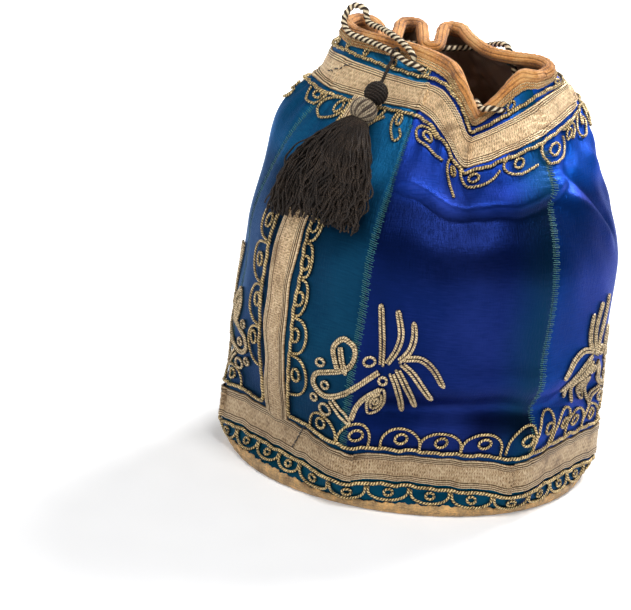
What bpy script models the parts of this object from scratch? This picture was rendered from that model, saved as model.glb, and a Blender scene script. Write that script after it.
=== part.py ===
"""A drawstring bag of silk satin, trimmed with woven metal braid and couched metal cord.

Metres, +Z up. The origin is the middle of the base's underside, and the front looks along -Y.
Everything sewn to the bag lies on one surface, the outer face of the silk. A place on it has a
fabric angle, in degrees from the middle of the front towards +X, and a level: 0 is the floor,
1 the shoulder, 2 the lower edge of the upper braid and 3 the rim. The silk, the lining and the
trimmings share one set of columns and rows on it, so that the layers stay parallel.
"""
import math
from functools import lru_cache

import bmesh
import bpy
from mathutils import Matrix, Vector

# The bag's body
BASE_RADIUS = 0.0785
BODY_RADIUS = 0.085
SHOULDER_RADIUS = 0.083
SHOULDER_SHIFT = 0.002
EDGE_ROUND_HEIGHT = 0.012
EDGE_ROUND_POWER = 1.8
SHOULDER_HEIGHT = 0.100
UPPER_BRAID_HEIGHT = 0.169
GATHERED_HEIGHT = 0.025
FRONT_FOLD_DEPTH = 0.0275
WAIST_HEIGHT = 0.060

# How strongly the cloth keeps its direction at the shoulder, the upper braid and the rim
SHOULDER_RISE = 0.075
BRAID_RISE_SHARE = 0.42
RIM_RISE_SHARE = 0.9

# The squared corners that the stiff lower braid folds into, as fabric angles
CORNER_ANGLES = (-80, -18.5, 36.5, 87, 150, 215)
CORNER_SHARPNESS = 26
CORNER_SWELL_FACTOR = 1.03
CORNER_FULL_HEIGHT = 0.018
CORNER_FADE_LENGTH = 0.060

# The gathered rim and the upper braid's lower edge: fabric angle, then x and y as shares of the
# body's radius, and the drop as a share of the front fold's depth
RIM_CURVE = (
    (-112, -0.545, 0.14, 0.04), (-95, -0.51, 0.01, 0.07), (-75, -0.44, -0.04, 0.11),
    (-50, -0.29, -0.11, 0.15), (-28, -0.13, -0.18, 0.20), (-8, 0.02, -0.30, 0.30),
    (0, 0.075, -0.39, 0.47), (7, 0.125, -0.395, 0.77), (15, 0.17, -0.34, 1.00),
    (24, 0.26, -0.30, 0.76), (36, 0.36, -0.275, 0.35), (44, 0.43, -0.27, 0.32),
    (52, 0.47, -0.21, 0.34), (60, 0.51, -0.15, 0.26), (70, 0.46, -0.08, 0.20),
    (88, 0.32, -0.05, 0.20), (104, 0.20, -0.01, 0.18), (118, 0.115, 0.09, 0.10),
    (126, 0.075, 0.18, 0.05), (133, 0.05, 0.25, 0.01), (140, -0.005, 0.28, 0.00),
    (146, -0.050, 0.24, 0.02), (151, -0.060, 0.15, 0.09), (155, -0.065, 0.06, 0.17),
    (160, -0.078, 0.01, 0.20), (166, -0.122, 0.01, 0.20), (171, -0.135, 0.06, 0.17),
    (175, -0.145, 0.15, 0.09), (180, -0.16, 0.24, 0.02), (187, -0.215, 0.28, 0.00),
    (194, -0.27, 0.24, 0.02), (198, -0.280, 0.15, 0.09), (202, -0.285, 0.06, 0.16),
    (207, -0.298, 0.01, 0.18), (213, -0.342, 0.01, 0.18), (217, -0.355, 0.06, 0.16),
    (222, -0.370, 0.15, 0.08), (230, -0.42, 0.23, 0.02),
    (240, -0.50, 0.24, 0.01))
BRAID_CURVE = (
    (-112, -0.67, 0.24, 0.11), (-95, -0.66, 0.07, 0.11), (-75, -0.58, -0.14, 0.11),
    (-50, -0.40, -0.30, 0.11), (-28, -0.22, -0.40, 0.16), (-8, -0.06, -0.47, 0.27),
    (3, 0.05, -0.56, 0.56), (10, 0.11, -0.61, 0.78), (14, 0.15, -0.61, 0.81),
    (24, 0.30, -0.55, 0.62), (38, 0.49, -0.37, 0.37), (50, 0.61, -0.12, 0.20),
    (64, 0.67, 0.09, 0.10), (82, 0.62, 0.26, 0.04), (100, 0.48, 0.36, 0.02),
    (120, 0.28, 0.47, -0.06), (142, 0.10, 0.56, -0.10), (161, -0.09, 0.40, 0.00),
    (180, -0.25, 0.55, -0.10), (199, -0.40, 0.42, 0.00), (217, -0.52, 0.42, -0.02),
    (234, -0.62, 0.38, 0.04))

# The layers of cloth, each with its own thickness and the gap between neighbours
# Main creases of the silk, each with its fabric angles and how far it stands out or in: above
# the lower braid the cloth sags into a roll over a hollow, and under the front fold it swings
# up in a crest, with a deep pocket to the right and a slanting fold beyond.
SAG_ANGLES = (-24, 88)
SAG_HEIGHT = 0.046
SAG_REACH = 0.014
SAG_HOLLOW = 0.0026
SAG_ROLL = 0.0018
FOLD_ANGLES = (-22, 50)
FOLD_LEVEL = 1.5
FOLD_LEVEL_REACH = 0.3
FOLD_CREST = 0.0016
POCKET_ANGLES = (44, 60)
POCKET_DEPTH = 0.0022
SLANT_ANGLES = (58, 82)
SLANT_CREST = 0.0015
CREASE_FADE_DEGREES = 9

GAP = 0.00035
SILK_THICKNESS = 0.0006
LINING_THICKNESS = 0.0005
BRAID_THICKNESS = 0.0008
BINDING_THICKNESS = 0.0008
PANEL_START = 0.0012
SEAM_ANGLES = (-77, -18, 40, 101, 162, 223)
SEAM_GAP = 0.0004

# Braid, border cord and bindings
BRAID_WIDTH = 0.0145
LOWER_BRAID_HEIGHT = 0.011
SIDE_BRAID_ANGLES = (-48.5, 128)
SIDE_BRAID_LIFT = 0.0002
BORDER_CORD_RADIUS = 0.0011
BORDER_CORD_SPACE = 0.0022
BORDER_CORD_GAP = 0.0005
LOWER_CORD_LIFT = 0.0005
RIM_BINDING_WIDTH = 0.0065
RIM_BINDING_CROWN = 0.0018
RIM_BINDING_SHOULDER = 0.0010
RIM_BINDING_SPACE = 0.0005
BASE_BINDING_HEIGHT = 0.0050
BASE_BINDING_LIP = 0.0045

# The base
COVER_THICKNESS = 0.0008
BOARD_THICKNESS = 0.0020
BOARD_CLEARANCE = 0.0016

# The drawstring and its eyelets
DRAWSTRING_RADIUS = 0.0016
DRAWSTRING_STEP = 0.0055
EYELET_RADIUS = 0.0023
EYELET_REACH = 0.0040
EYELET_SIDES = 8
KNOT_RADIUS = 0.0036
KNOT_SQUASH_FACTOR = 0.8
KNOT_SIDES = 12

# The tassel
TASSEL_ANGLES = (-38.5, -41.5)
TASSEL_LEAN_LENGTH = 0.0800
TASSEL_CLEARANCE = 0.0008
TASSEL_LOOP_SPACE = 0.0004
TASSEL_LOOP_THREAD = 0.0006
TASSEL_LOOP_POINTS = 12
TASSEL_CORD_RADIUS = 0.0009
TASSEL_DROP = 0.0200
TASSEL_KNOB_RADIUS = 0.0052
TASSEL_COLLAR_RADIUS = 0.0064
TASSEL_COLLAR_HEIGHT = 0.0096
TASSEL_COLLAR_RIBS = 9
TASSEL_RIB_DEPTH = 0.0007
TASSEL_SKIRT_LENGTH = 0.0500
TASSEL_SKIRT_TOP = 0.0100
TASSEL_SKIRT_WIDTH = 0.0430
TASSEL_SKIRT_DEPTH = 0.0120
TASSEL_SKIRT_FLUTES = 11
TASSEL_SKIRT_STATIONS = 7
TASSEL_WIDEST_SHARE = 0.8
TASSEL_BELLY_SHARES = (0.25, 0.87)
TASSEL_FLUTE_SHARE = 0.08

# Columns: the widest step in degrees from each fabric angle on
COLUMN_STEPS = ((-77, 7.4), (-18, 5.0), (40, 5.6), (101, 4.7), (223, 6.7))
COLUMN_CLEARANCE_DEGREES = 0.3

# The steps over which slopes are measured, as degrees of fabric angle and as a share of a level
SLOPE_DEGREES = 0.8
SLOPE_LEVEL_SHARE = 0.02

# The angle in degrees from which an edge is shown sharp, and the rings of a ball
SHARP_ANGLE = 40
BALL_RINGS = 6

COLOURS = {
    "silk_left": (0.010, 0.095, 0.190),
    "silk_front": (0.020, 0.050, 0.300),
    "silk_right": (0.008, 0.060, 0.330),
    "lining": (0.300, 0.160, 0.110),
    "base": (0.020, 0.070, 0.130),
    "board": (0.420, 0.330, 0.220),
    "braid": (0.480, 0.370, 0.230),
    "border_cord": (0.400, 0.300, 0.170),
    "binding": (0.560, 0.270, 0.090),
    "drawstring": (0.420, 0.320, 0.210),
    "tassel": (0.045, 0.030, 0.025),
    "tassel_head": (0.180, 0.120, 0.085),
}
METALLIC = {"braid": 0.6, "border_cord": 0.6}
ROUGHNESS = {"silk_left": 0.35, "silk_front": 0.35, "silk_right": 0.35, "braid": 0.45}


# The surface that everything is sewn to

def hermite(start, start_slope, end, end_slope, s):
    """The cubic between two points that leaves and arrives with the given slopes."""
    return ((2 * s ** 3 - 3 * s ** 2 + 1) * start + (s ** 3 - 2 * s ** 2 + s) * start_slope
            + (3 * s ** 2 - 2 * s ** 3) * end + (s ** 3 - s ** 2) * end_slope)


def ease(x):
    """0 below 0, 1 above 1 and smooth between."""
    x = min(max(x, 0.0), 1.0)
    return x * x * (3 - 2 * x)


def through(points, angle):
    """The smooth closed curve through points that each have a fabric angle and a place."""
    first = points[0][0]
    angle = first + (angle - first) % 360
    here = max(k for k in range(len(points)) if points[k][0] <= angle)
    near = []
    for k in range(here - 1, here + 3):
        lap, index = divmod(k, len(points))
        near.append((points[index][0] + 360 * lap, Vector(points[index][1:])))
    (a0, p0), (a1, p1), (a2, p2), (a3, p3) = near
    span = a2 - a1
    return hermite(p1, (p2 - p0) * (span / (a2 - a0)), p2, (p3 - p1) * (span / (a3 - a1)),
                   (angle - a1) / span)


def corner_share(angle):
    """1 at the squared corners and less on the flats between them."""
    total = 0.0
    laps = list(CORNER_ANGLES) + [CORNER_ANGLES[0] + 360]
    for low, high in zip(laps, laps[1:]):
        half = math.radians((high - low) / 2)
        turn = math.radians(angle - (low + high) / 2)
        total += max(0.0, math.cos(turn) / math.cos(half)) ** CORNER_SHARPNESS
    return total ** (-1 / CORNER_SHARPNESS)


def body_point(angle, height):
    """The silk's outer face between the floor and the shoulder."""
    rise = min(height / EDGE_ROUND_HEIGHT, 1.0)
    radius = BODY_RADIUS - (BODY_RADIUS - BASE_RADIUS) * (1 - rise) ** EDGE_ROUND_POWER
    above = max(height - EDGE_ROUND_HEIGHT, 0.0) / (SHOULDER_HEIGHT - EDGE_ROUND_HEIGHT)
    radius += (SHOULDER_RADIUS - BODY_RADIUS) * above
    squared = ease(height / EDGE_ROUND_HEIGHT)
    squared *= 1 - ease((height - CORNER_FULL_HEIGHT) / CORNER_FADE_LENGTH)
    radius *= 1 + squared * (corner_share(angle) * CORNER_SWELL_FACTOR - 1)
    shift = SHOULDER_SHIFT * ease(2 * height / SHOULDER_HEIGHT - 1)
    turn = math.radians(angle)
    return Vector((radius * math.sin(turn) + shift, -radius * math.cos(turn), height))


def curve_point(points, angle, top):
    """A place on the rim or on the braid's edge, from its shares."""
    across, along, drop = through(points, angle)
    return Vector((across * BODY_RADIUS, along * BODY_RADIUS, top - drop * FRONT_FOLD_DEPTH))


@lru_cache(maxsize=None)
def bump(x, middle, reach):
    """A smooth hill of height 1, which ends at its reach."""
    return ease(1 - abs(x - middle) / reach)


def shown(angle, limits):
    """1 between two fabric angles, fading to 0 at both."""
    angle = (angle + 180) % 360 - 180
    low, high = limits
    return ease((angle - low) / CREASE_FADE_DEGREES) * ease((high - angle) / CREASE_FADE_DEGREES)


def crease(angle, level):
    """How far the main creases move the silk out at a place."""
    if level <= 1:
        height = level * SHOULDER_HEIGHT
        sag = SAG_ROLL * bump(height, WAIST_HEIGHT, SAG_REACH)
        return shown(angle, SAG_ANGLES) * (sag - SAG_HOLLOW * bump(height, SAG_HEIGHT, SAG_REACH))
    out = shown(angle, FOLD_ANGLES) * FOLD_CREST - shown(angle, POCKET_ANGLES) * POCKET_DEPTH
    out += shown(angle, SLANT_ANGLES) * SLANT_CREST
    return out * bump(level, FOLD_LEVEL, FOLD_LEVEL_REACH)


def wall_point(angle, level):
    """The silk's outer face at a fabric angle and a level, creases and all."""
    out = crease(angle, level)
    place = smooth_point(angle, level)
    if not out:
        return place
    return place + out * at_height(place, 0).normalized()


def smooth_point(angle, level):
    """The silk's outer face before it creases."""
    if level <= 1:
        return body_point(angle, level * SHOULDER_HEIGHT)
    shoulder = body_point(angle, SHOULDER_HEIGHT)
    braid = curve_point(BRAID_CURVE, angle, UPPER_BRAID_HEIGHT)
    rim = curve_point(RIM_CURVE, angle, UPPER_BRAID_HEIGHT + GATHERED_HEIGHT)
    braid_slope = (rim - shoulder) * BRAID_RISE_SHARE
    if level <= 2:
        return hermite(shoulder, Vector((0, 0, SHOULDER_RISE)), braid, braid_slope, level - 1)
    return hermite(braid, braid_slope, rim, (rim - braid) * RIM_RISE_SHARE, min(level, 3) - 2)


@lru_cache(maxsize=None)
def wall_normal(angle, level):
    """The outward direction there."""
    level = min(max(level, SLOPE_LEVEL_SHARE), 3 - SLOPE_LEVEL_SHARE)
    along = wall_point(angle + SLOPE_DEGREES, level) - wall_point(angle - SLOPE_DEGREES, level)
    upward = wall_point(angle, level + SLOPE_LEVEL_SHARE) - wall_point(angle, level - SLOPE_LEVEL_SHARE)
    return along.cross(upward).normalized()


@lru_cache(maxsize=None)
def strip_length(angle):
    """The cloth from the upper braid's lower edge to the rim."""
    return (wall_point(angle, 3) - wall_point(angle, 2)).length


@lru_cache(maxsize=None)
def rows(angle):
    """The levels of the rows that all layers share, from the base to the rim."""
    heights = (PANEL_START, BASE_BINDING_HEIGHT, LOWER_BRAID_HEIGHT,
               LOWER_BRAID_HEIGHT + BRAID_WIDTH, SAG_HEIGHT, WAIST_HEIGHT)
    lower = [height / SHOULDER_HEIGHT for height in heights]
    length = strip_length(angle)
    return lower + [1, FOLD_LEVEL, 2, 2 + BRAID_WIDTH / length, 3 - RIM_BINDING_WIDTH / length, 3]


ROW_BASE, ROW_EDGE, ROW_LOW, ROW_LOW_TOP = range(4)
ROW_HIGH, ROW_HIGH_TOP, ROW_BINDING, ROW_RIM = range(8, 12)


@lru_cache(maxsize=None)
def on_cloth(angle, level, out=0.0):
    """A place on the facets between two rows, moved out by a distance."""
    levels = rows(angle)
    k = max([0] + [j for j in range(len(levels) - 1) if levels[j] <= level])
    share = (level - levels[k]) / (levels[k + 1] - levels[k])
    low = wall_point(angle, levels[k]) + out * wall_normal(angle, levels[k])
    high = wall_point(angle, levels[k + 1]) + out * wall_normal(angle, levels[k + 1])
    return low.lerp(high, share)


@lru_cache(maxsize=None)
def drawn_length(angle):
    """The cloth from the shoulder to the upper braid's lower edge."""
    places = [wall_point(angle, 1 + k / 8) for k in range(9)]
    return sum((b - a).length for a, b in zip(places, places[1:]))


def row_point(angle, row, out=0.0):
    """A place on one of the shared rows."""
    level = rows(angle)[row]
    return wall_point(angle, level) + out * wall_normal(angle, level)


def rim_way(angle):
    """The direction past the rim, in the cloth's plane and square to its edge."""
    along = wall_point(angle + SLOPE_DEGREES, 3) - wall_point(angle - SLOPE_DEGREES, 3)
    return wall_normal(angle, 3).cross(along).normalized()


def below_rim(angle, depth, out):
    """A place a distance down the cloth from the rim; a negative one stands above it."""
    if depth < 0:
        return row_point(angle, ROW_RIM, out) - depth * rim_way(angle)
    length = strip_length(angle)
    if depth <= length:
        return on_cloth(angle, 3 - depth / length, out)
    return on_cloth(angle, 2 - (depth - length) / drawn_length(angle), out)


def degrees_for(length):
    """The fabric angle that a length takes round the body."""
    return math.degrees(length / BODY_RADIUS)


def columns():
    """The fabric angles that all layers share, once round from the first seam."""
    breaks = list(SEAM_ANGLES) + [SEAM_ANGLES[0] + 360]
    found = []
    for low, high in zip(breaks, breaks[1:]):
        step = [s for start, s in COLUMN_STEPS if start <= low][-1]
        count = math.ceil((high - low) / step)
        found += [low + (high - low) * k / count for k in range(count)]
    return found


COLUMNS = columns()


def columns_between(low, high, clear=COLUMN_CLEARANCE_DEGREES):
    """The shared columns inside a range and clear of its ends, with the range's own ends."""
    laps = [angle + lap for lap in (-360, 0, 360) for angle in COLUMNS]
    inside = [angle for angle in laps if low + clear < angle < high - clear]
    return [low] + sorted(inside) + [high]


# Making objects

def material(colour):
    """One Principled material for each colour name."""
    found = bpy.data.materials.get(colour)
    if found:
        return found
    made = bpy.data.materials.new(colour)
    made.use_nodes = True
    shader = made.node_tree.nodes["Principled BSDF"]
    shader.inputs["Base Color"].default_value = (*COLOURS[colour], 1)
    shader.inputs["Metallic"].default_value = METALLIC.get(colour, 0.0)
    shader.inputs["Roughness"].default_value = ROUGHNESS.get(colour, 0.7)
    return made


def mesh_object(name, verts, faces, colour, origin=Vector()):
    """An object from world places, with its own origin."""
    mesh = bpy.data.meshes.new(name)
    mesh.from_pydata([Vector(v) - origin for v in verts], [], faces)
    mesh.materials.append(material(colour))
    mesh.shade_smooth()
    mesh.set_sharp_from_angle(angle=math.radians(SHARP_ANGLE))
    made = bpy.data.objects.new(name, mesh)
    made.location = origin
    bpy.context.collection.objects.link(made)
    return made


def band_faces(count, width, closed, falling):
    """Triangles between neighbouring sections.

    A section's points rise, or fall where their numbers are in falling. The diagonals run the
    same way on both, to keep a layer's two sides parallel.
    """
    faces = []
    for i in range(count if closed else count - 1):
        here = i * width
        there = ((i + 1) % count) * width
        for j in range(width):
            k = (j + 1) % width
            if j not in falling:
                faces.append((here + j, there + j, there + k))
                faces.append((here + j, there + k, here + k))
            else:
                faces.append((here + j, there + j, here + k))
                faces.append((there + j, there + k, here + k))
    return faces


def sweep(name, sections, colour, closed=False, falling=None, origin=Vector()):
    """A solid through sections with the same number of points.

    As a rule the first half of a section's points go up its outer side and the others come down
    its inner side, so that an open sweep's ends are closed with rungs between the two sides.
    """
    width = len(sections[0])
    if falling is None:
        falling = range(width // 2, width)
    verts = [point for section in sections for point in section]
    faces = band_faces(len(sections), width, closed, falling)
    if not closed:
        last = (len(sections) - 1) * width
        for j in range(width // 2 - 1):
            k = width - 1 - j
            faces += [(j, j + 1, k), (j + 1, k - 1, k)]
            faces += [(last + j, last + k, last + j + 1), (last + j + 1, last + k, last + k - 1)]
    return mesh_object(name, verts, faces, colour, origin)


def layer_section(angle, row_numbers, outer, inner):
    """One column of a layer: down its inner face and up its outer face."""
    inside = [row_point(angle, row, inner) for row in reversed(row_numbers)]
    outside = [row_point(angle, row, outer) for row in row_numbers]
    return outside + inside


def at_height(place, height):
    """The same place seen from above, at another height."""
    return Vector((place.x, place.y, height))


def disc(name, low, high, inset, colour):
    """A flat piece with the bag's outline at its own height."""
    verts = [Vector((0, 0, low)), Vector((0, 0, high))]
    outline = COLUMNS[::2]
    for angle in outline:
        edge = body_point(angle, low)
        flat = at_height(edge, 0)
        flat -= flat.normalized() * inset
        verts += [at_height(flat, low), at_height(flat, high)]
    faces = []
    count = len(outline)
    for i in range(count):
        here = 2 + 2 * i
        there = 2 + 2 * ((i + 1) % count)
        faces += [(0, there, here), (1, here + 1, there + 1)]
        faces += [(here, there, there + 1), (here, there + 1, here + 1)]
    return mesh_object(name, verts, faces, colour)


def cord_object(name, points, radius, colour, closed=False, sides_resolution=2, origin=Vector()):
    """A cord as a bevelled curve, with filled ends when open."""
    curve = bpy.data.curves.new(name, "CURVE")
    curve.dimensions = "3D"
    curve.bevel_depth = radius
    curve.bevel_resolution = sides_resolution
    curve.use_fill_caps = not closed
    spline = curve.splines.new("POLY")
    spline.points.add(len(points) - 1)
    for point, place in zip(spline.points, points):
        point.co = (*(place - origin), 1)
    spline.use_cyclic_u = closed
    curve.materials.append(material(colour))
    made = bpy.data.objects.new(name, curve)
    made.location = origin
    bpy.context.collection.objects.link(made)
    return made


def ball_profile(radius, half_height):
    """Radius and height at the rings of a ball."""
    turns = [math.pi * k / (BALL_RINGS + 1) for k in range(1, BALL_RINGS + 1)]
    return [(radius * math.sin(turn), -half_height * math.cos(turn)) for turn in turns]


def turned(name, middle, axis, profile, sides, colour, origin=Vector(), rib_depth=0.0):
    """A solid turned about an axis; every second side can be drawn in, to make ribs."""
    turn = axis.to_track_quat("Z", "X").to_matrix()
    sections = []
    for radius, along in profile:
        ring = []
        for k in range(sides):
            angle = -2 * math.pi * k / sides
            reach = radius - rib_depth * (k % 2)
            ring.append(Vector((reach * math.cos(angle), reach * math.sin(angle), along)))
        sections.append([middle + turn @ point for point in ring])
    closed_profile(name, sections, colour, origin)


def closed_profile(name, sections, colour, origin):
    """A solid through rings of points, closed with a fan at each end."""
    width = len(sections[0])
    verts = [point for section in sections for point in section]
    faces = band_faces(len(sections), width, False, ())
    for ring, order in ((0, 1), (len(sections) - 1, -1)):
        first = ring * width
        centre = len(verts)
        verts.append(sum(sections[ring], Vector()) / width)
        fans = [(centre, first + j, first + (j + 1) % width) for j in range(width)]
        faces += [fan[::order] for fan in fans]
    mesh_object(name, verts, faces, colour, origin)


# The body: silk panels, lining, base

def silk_panels():
    """Six panels, with the seams between them."""
    tones = ("silk_left", "silk_front", "silk_right", "silk_left", "silk_front", "silk_right")
    half_gap = degrees_for(SEAM_GAP / 2)
    seams = list(SEAM_ANGLES) + [SEAM_ANGLES[0] + 360]
    panels = []
    for k, (low, high) in enumerate(zip(seams, seams[1:])):
        angles = columns_between(low + half_gap, high - half_gap)
        sections = [layer_section(a, range(ROW_RIM + 1), 0.0, -SILK_THICKNESS) for a in angles]
        panels.append(sweep(f"silk_panel_{k + 1}", sections, tones[k]))
    return panels


def lining_levels():
    """The lining's outer and inner face, behind the silk."""
    outer = -SILK_THICKNESS - GAP
    return outer, outer - LINING_THICKNESS


def lining_floor():
    """The height at which the lining meets the base."""
    return PANEL_START + BOARD_THICKNESS + GAP


def lining():
    """The lining's wall, from the board to the rim."""
    outer, inner = lining_levels()
    sections = []
    for angle in COLUMNS:
        section = layer_section(angle, range(ROW_EDGE, ROW_RIM + 1), outer, inner)
        start = lining_floor() / SHOULDER_HEIGHT
        section.insert(0, on_cloth(angle, start, outer))
        section.append(on_cloth(angle, start, inner))
        sections.append(section)
    return sweep("lining", sections, "lining", closed=True)


def base():
    """The cover that the bag rests on, its stiff board and the lining's floor."""
    disc("base_cover", 0.0, COVER_THICKNESS, BASE_BINDING_LIP + GAP, "base")
    board_top = PANEL_START + BOARD_THICKNESS
    disc("base_board", PANEL_START, board_top, SILK_THICKNESS + BOARD_CLEARANCE, "board")
    floor = lining_floor()
    inset = -lining_levels()[1] + 4 * GAP
    disc("lining_base", floor, floor + LINING_THICKNESS, inset, "lining")


def base_binding():
    """The worn tape round the bottom edge: up the wall and in under the silk."""
    outer = GAP + BINDING_THICKNESS
    sections = []
    for angle in COLUMNS:
        outside = row_point(angle, ROW_BASE, outer)
        inside = row_point(angle, ROW_BASE, GAP)
        edge = body_point(angle, 0.0)
        heel = edge - at_height(edge, 0).normalized() * BASE_BINDING_LIP
        sections.append([
            at_height(heel, GAP),
            at_height(outside, GAP),
            row_point(angle, ROW_EDGE, outer),
            row_point(angle, ROW_EDGE, GAP),
            at_height(inside, PANEL_START - GAP),
            at_height(heel, PANEL_START - GAP),
        ])
    sweep("base_binding", sections, "binding", closed=True)


def rim_binding():
    """The rolled tape over the rim, outside the silk and inside the lining."""
    outer = GAP + BINDING_THICKNESS
    inner = lining_levels()[1] - GAP
    middle = lining_levels()[1] / 2
    sections = []
    for angle in COLUMNS:
        way = rim_way(angle)
        sections.append([
            row_point(angle, ROW_BINDING, GAP),
            row_point(angle, ROW_BINDING, outer),
            row_point(angle, ROW_RIM, outer) + way * RIM_BINDING_SHOULDER,
            row_point(angle, ROW_RIM, middle) + way * RIM_BINDING_CROWN,
            row_point(angle, ROW_RIM, inner - BINDING_THICKNESS) + way * RIM_BINDING_SHOULDER,
            row_point(angle, ROW_BINDING, inner - BINDING_THICKNESS),
            row_point(angle, ROW_BINDING, inner),
            row_point(angle, ROW_RIM, inner),
            row_point(angle, ROW_RIM, inner) + way * RIM_BINDING_SPACE,
            row_point(angle, ROW_RIM, GAP) + way * RIM_BINDING_SPACE,
            row_point(angle, ROW_RIM, GAP),
        ])
    sweep("rim_binding", sections, "binding", closed=True, falling=(3, 4, 9, 10))


# Braid and border cord

def braid_ring(name, low_row, high_row):
    """A band of braid that goes all the way round between two rows."""
    rows_of_braid = (low_row, high_row)
    sections = [layer_section(a, rows_of_braid, GAP + BRAID_THICKNESS, GAP) for a in COLUMNS]
    sweep(name, sections, "braid", closed=True)


def degrees_at(angle, level, length):
    """The fabric angle that a length takes along the cloth at a level."""
    reach = 2.0
    across = wall_point(angle + reach, level) - wall_point(angle - reach, level)
    return 2 * reach * length / across.length


def side_braid(name, angle):
    """A band of braid that climbs from the lower band to the upper one at its full width."""
    levels = list(rows(angle)[ROW_LOW_TOP:ROW_HIGH + 1])
    levels[0] += 2 * GAP / SHOULDER_HEIGHT
    levels[-1] -= 2 * GAP / (UPPER_BRAID_HEIGHT - SHOULDER_HEIGHT)
    halves = [degrees_at(angle, level, BRAID_WIDTH / 2) for level in levels]
    near = GAP + SIDE_BRAID_LIFT
    sections = []
    for share in (-1, -0.5, 0, 0.5, 1):
        places = [(angle + share * half, level) for half, level in zip(halves, levels)]
        outside = [on_cloth(here, level, near + BRAID_THICKNESS) for here, level in places]
        inside = [on_cloth(here, level, near) for here, level in reversed(places)]
        sections.append(outside + inside)
    sweep(name, sections, "braid")


def border_out():
    """How far a border cord's middle lies from the silk."""
    return BORDER_CORD_GAP + BORDER_CORD_RADIUS


def ring_cord(name, level_at, lift=0.0):
    """A border cord that goes all the way round."""
    points = [on_cloth(angle, level_at(angle), border_out() + lift) for angle in COLUMNS]
    cord_object(name, points, BORDER_CORD_RADIUS, "border_cord", closed=True, sides_resolution=0)


def frame_cord(name, low, high):
    """The border cord round one field of silk: along both bands and up both side braids."""
    rise = 2 * BORDER_CORD_SPACE / SHOULDER_HEIGHT
    space = BORDER_CORD_SPACE / SHOULDER_HEIGHT
    bottom = rows(low)[ROW_LOW_TOP] + space
    top = 2 - BORDER_CORD_SPACE / (UPPER_BRAID_HEIGHT - SHOULDER_HEIGHT)
    path = [(angle, bottom) for angle in run_between(low, high, bottom)]
    path += side_path(high, -1, bottom + rise, top - rise)
    path += [(angle, top) for angle in reversed(run_between(low, high, top))]
    path += list(reversed(side_path(low, 1, bottom + rise, top - rise)))
    points = [on_cloth(angle, level, border_out()) for angle, level in path]
    cord_object(name, points, BORDER_CORD_RADIUS, "border_cord", closed=True, sides_resolution=0)


def run_between(low, high, level):
    """The fabric angles of a border cord's run between two side braids, clear of its corners."""
    beside = BRAID_WIDTH / 2 + 3 * BORDER_CORD_SPACE
    left = low + degrees_at(low, level, beside)
    right = high - degrees_at(high, level, beside)
    return columns_between(left, right, degrees_for(BORDER_CORD_SPACE))


def side_path(angle, side, low, high):
    """Places up one edge of a side braid, with a point on each row between the ends."""
    clear = BORDER_CORD_SPACE / SHOULDER_HEIGHT
    between = [level for level in rows(angle) if low + clear < level < high - clear]
    beside = BRAID_WIDTH / 2 + BORDER_CORD_SPACE
    return [(angle + side * degrees_at(angle, level, beside), level)
            for level in [low] + between + [high]]


def trimmings():
    """The two bands, the two side braids and the cords along their edges."""
    braid_ring("lower_braid", ROW_LOW, ROW_LOW_TOP)
    braid_ring("upper_braid", ROW_HIGH, ROW_HIGH_TOP)
    side_braid("side_braid_front", SIDE_BRAID_ANGLES[0])
    side_braid("side_braid_back", SIDE_BRAID_ANGLES[1])
    ring_cord("lower_border_cord",
              lambda a: rows(a)[ROW_LOW] - BORDER_CORD_SPACE / SHOULDER_HEIGHT, LOWER_CORD_LIFT)
    ring_cord("upper_border_cord",
              lambda a: rows(a)[ROW_HIGH_TOP] + BORDER_CORD_SPACE / strip_length(a))
    front, back = SIDE_BRAID_ANGLES
    frame_cord("frame_cord_right", front, back)
    frame_cord("frame_cord_left", back, front + 360)


# The drawstring

# Fabric angle, depth down the cloth from the rim and distance out from the silk. The first and
# the last place are the middle of the knot, where the cord's two ends meet. From there it comes
# over the front fold, goes through the pleats round the back, returns inside the front lobe, and
# leaves by one eyelet and comes back by the other as the pull loop hooked over the left tip.
DRAWSTRING_ROUTE = (
    (15, -0.0180, -0.0070), (15, -0.0105, -0.0042), (15, -0.0050, -0.0022),
    (16, -0.0040, 0.0034), (19, 0.0035, 0.0041), (23, 0.0078, 0.0040), (27, 0.0102, -0.0007),
    (30, 0.0112, -0.0090), (90, 0.0115, -0.0100), (95, 0.0112, -0.0007), (104, 0.0115, 0.0060),
    (121, 0.0120, -0.0006), (154, 0.0120, -0.0006), (172, 0.0120, -0.0006),
    (199, 0.0120, -0.0006), (219, 0.0120, -0.0006), (258, 0.0120, -0.0070),
    (282, 0.0105, -0.0050), (303, 0.0100, -0.0045), (322, 0.0100, -0.0052),
    (327, 0.0090, -0.0007), (330, 0.0080, 0.0048), (322, 0.0036, 0.0054),
    (310, -0.0008, 0.0047), (297, -0.0040, 0.0014), (284, -0.0050, -0.0010),
    (275, -0.0066, -0.0025), (266, -0.0098, -0.0010), (260, -0.0085, 0.0030),
    (263, -0.0020, 0.0052), (273, 0.0025, 0.0040), (290, 0.0044, 0.0036),
    (306, 0.0066, 0.0042), (318, 0.0096, 0.0052), (327, 0.0124, 0.0050),
    (333, 0.0115, 0.0038), (338, 0.0108, -0.0007), (344, 0.0115, -0.0060),
    (15, -0.0180, -0.0070))
EYELETS = (6, 9, 11, 12, 13, 14, 15, 20, 36)
LOOP_POINT = 33


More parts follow.
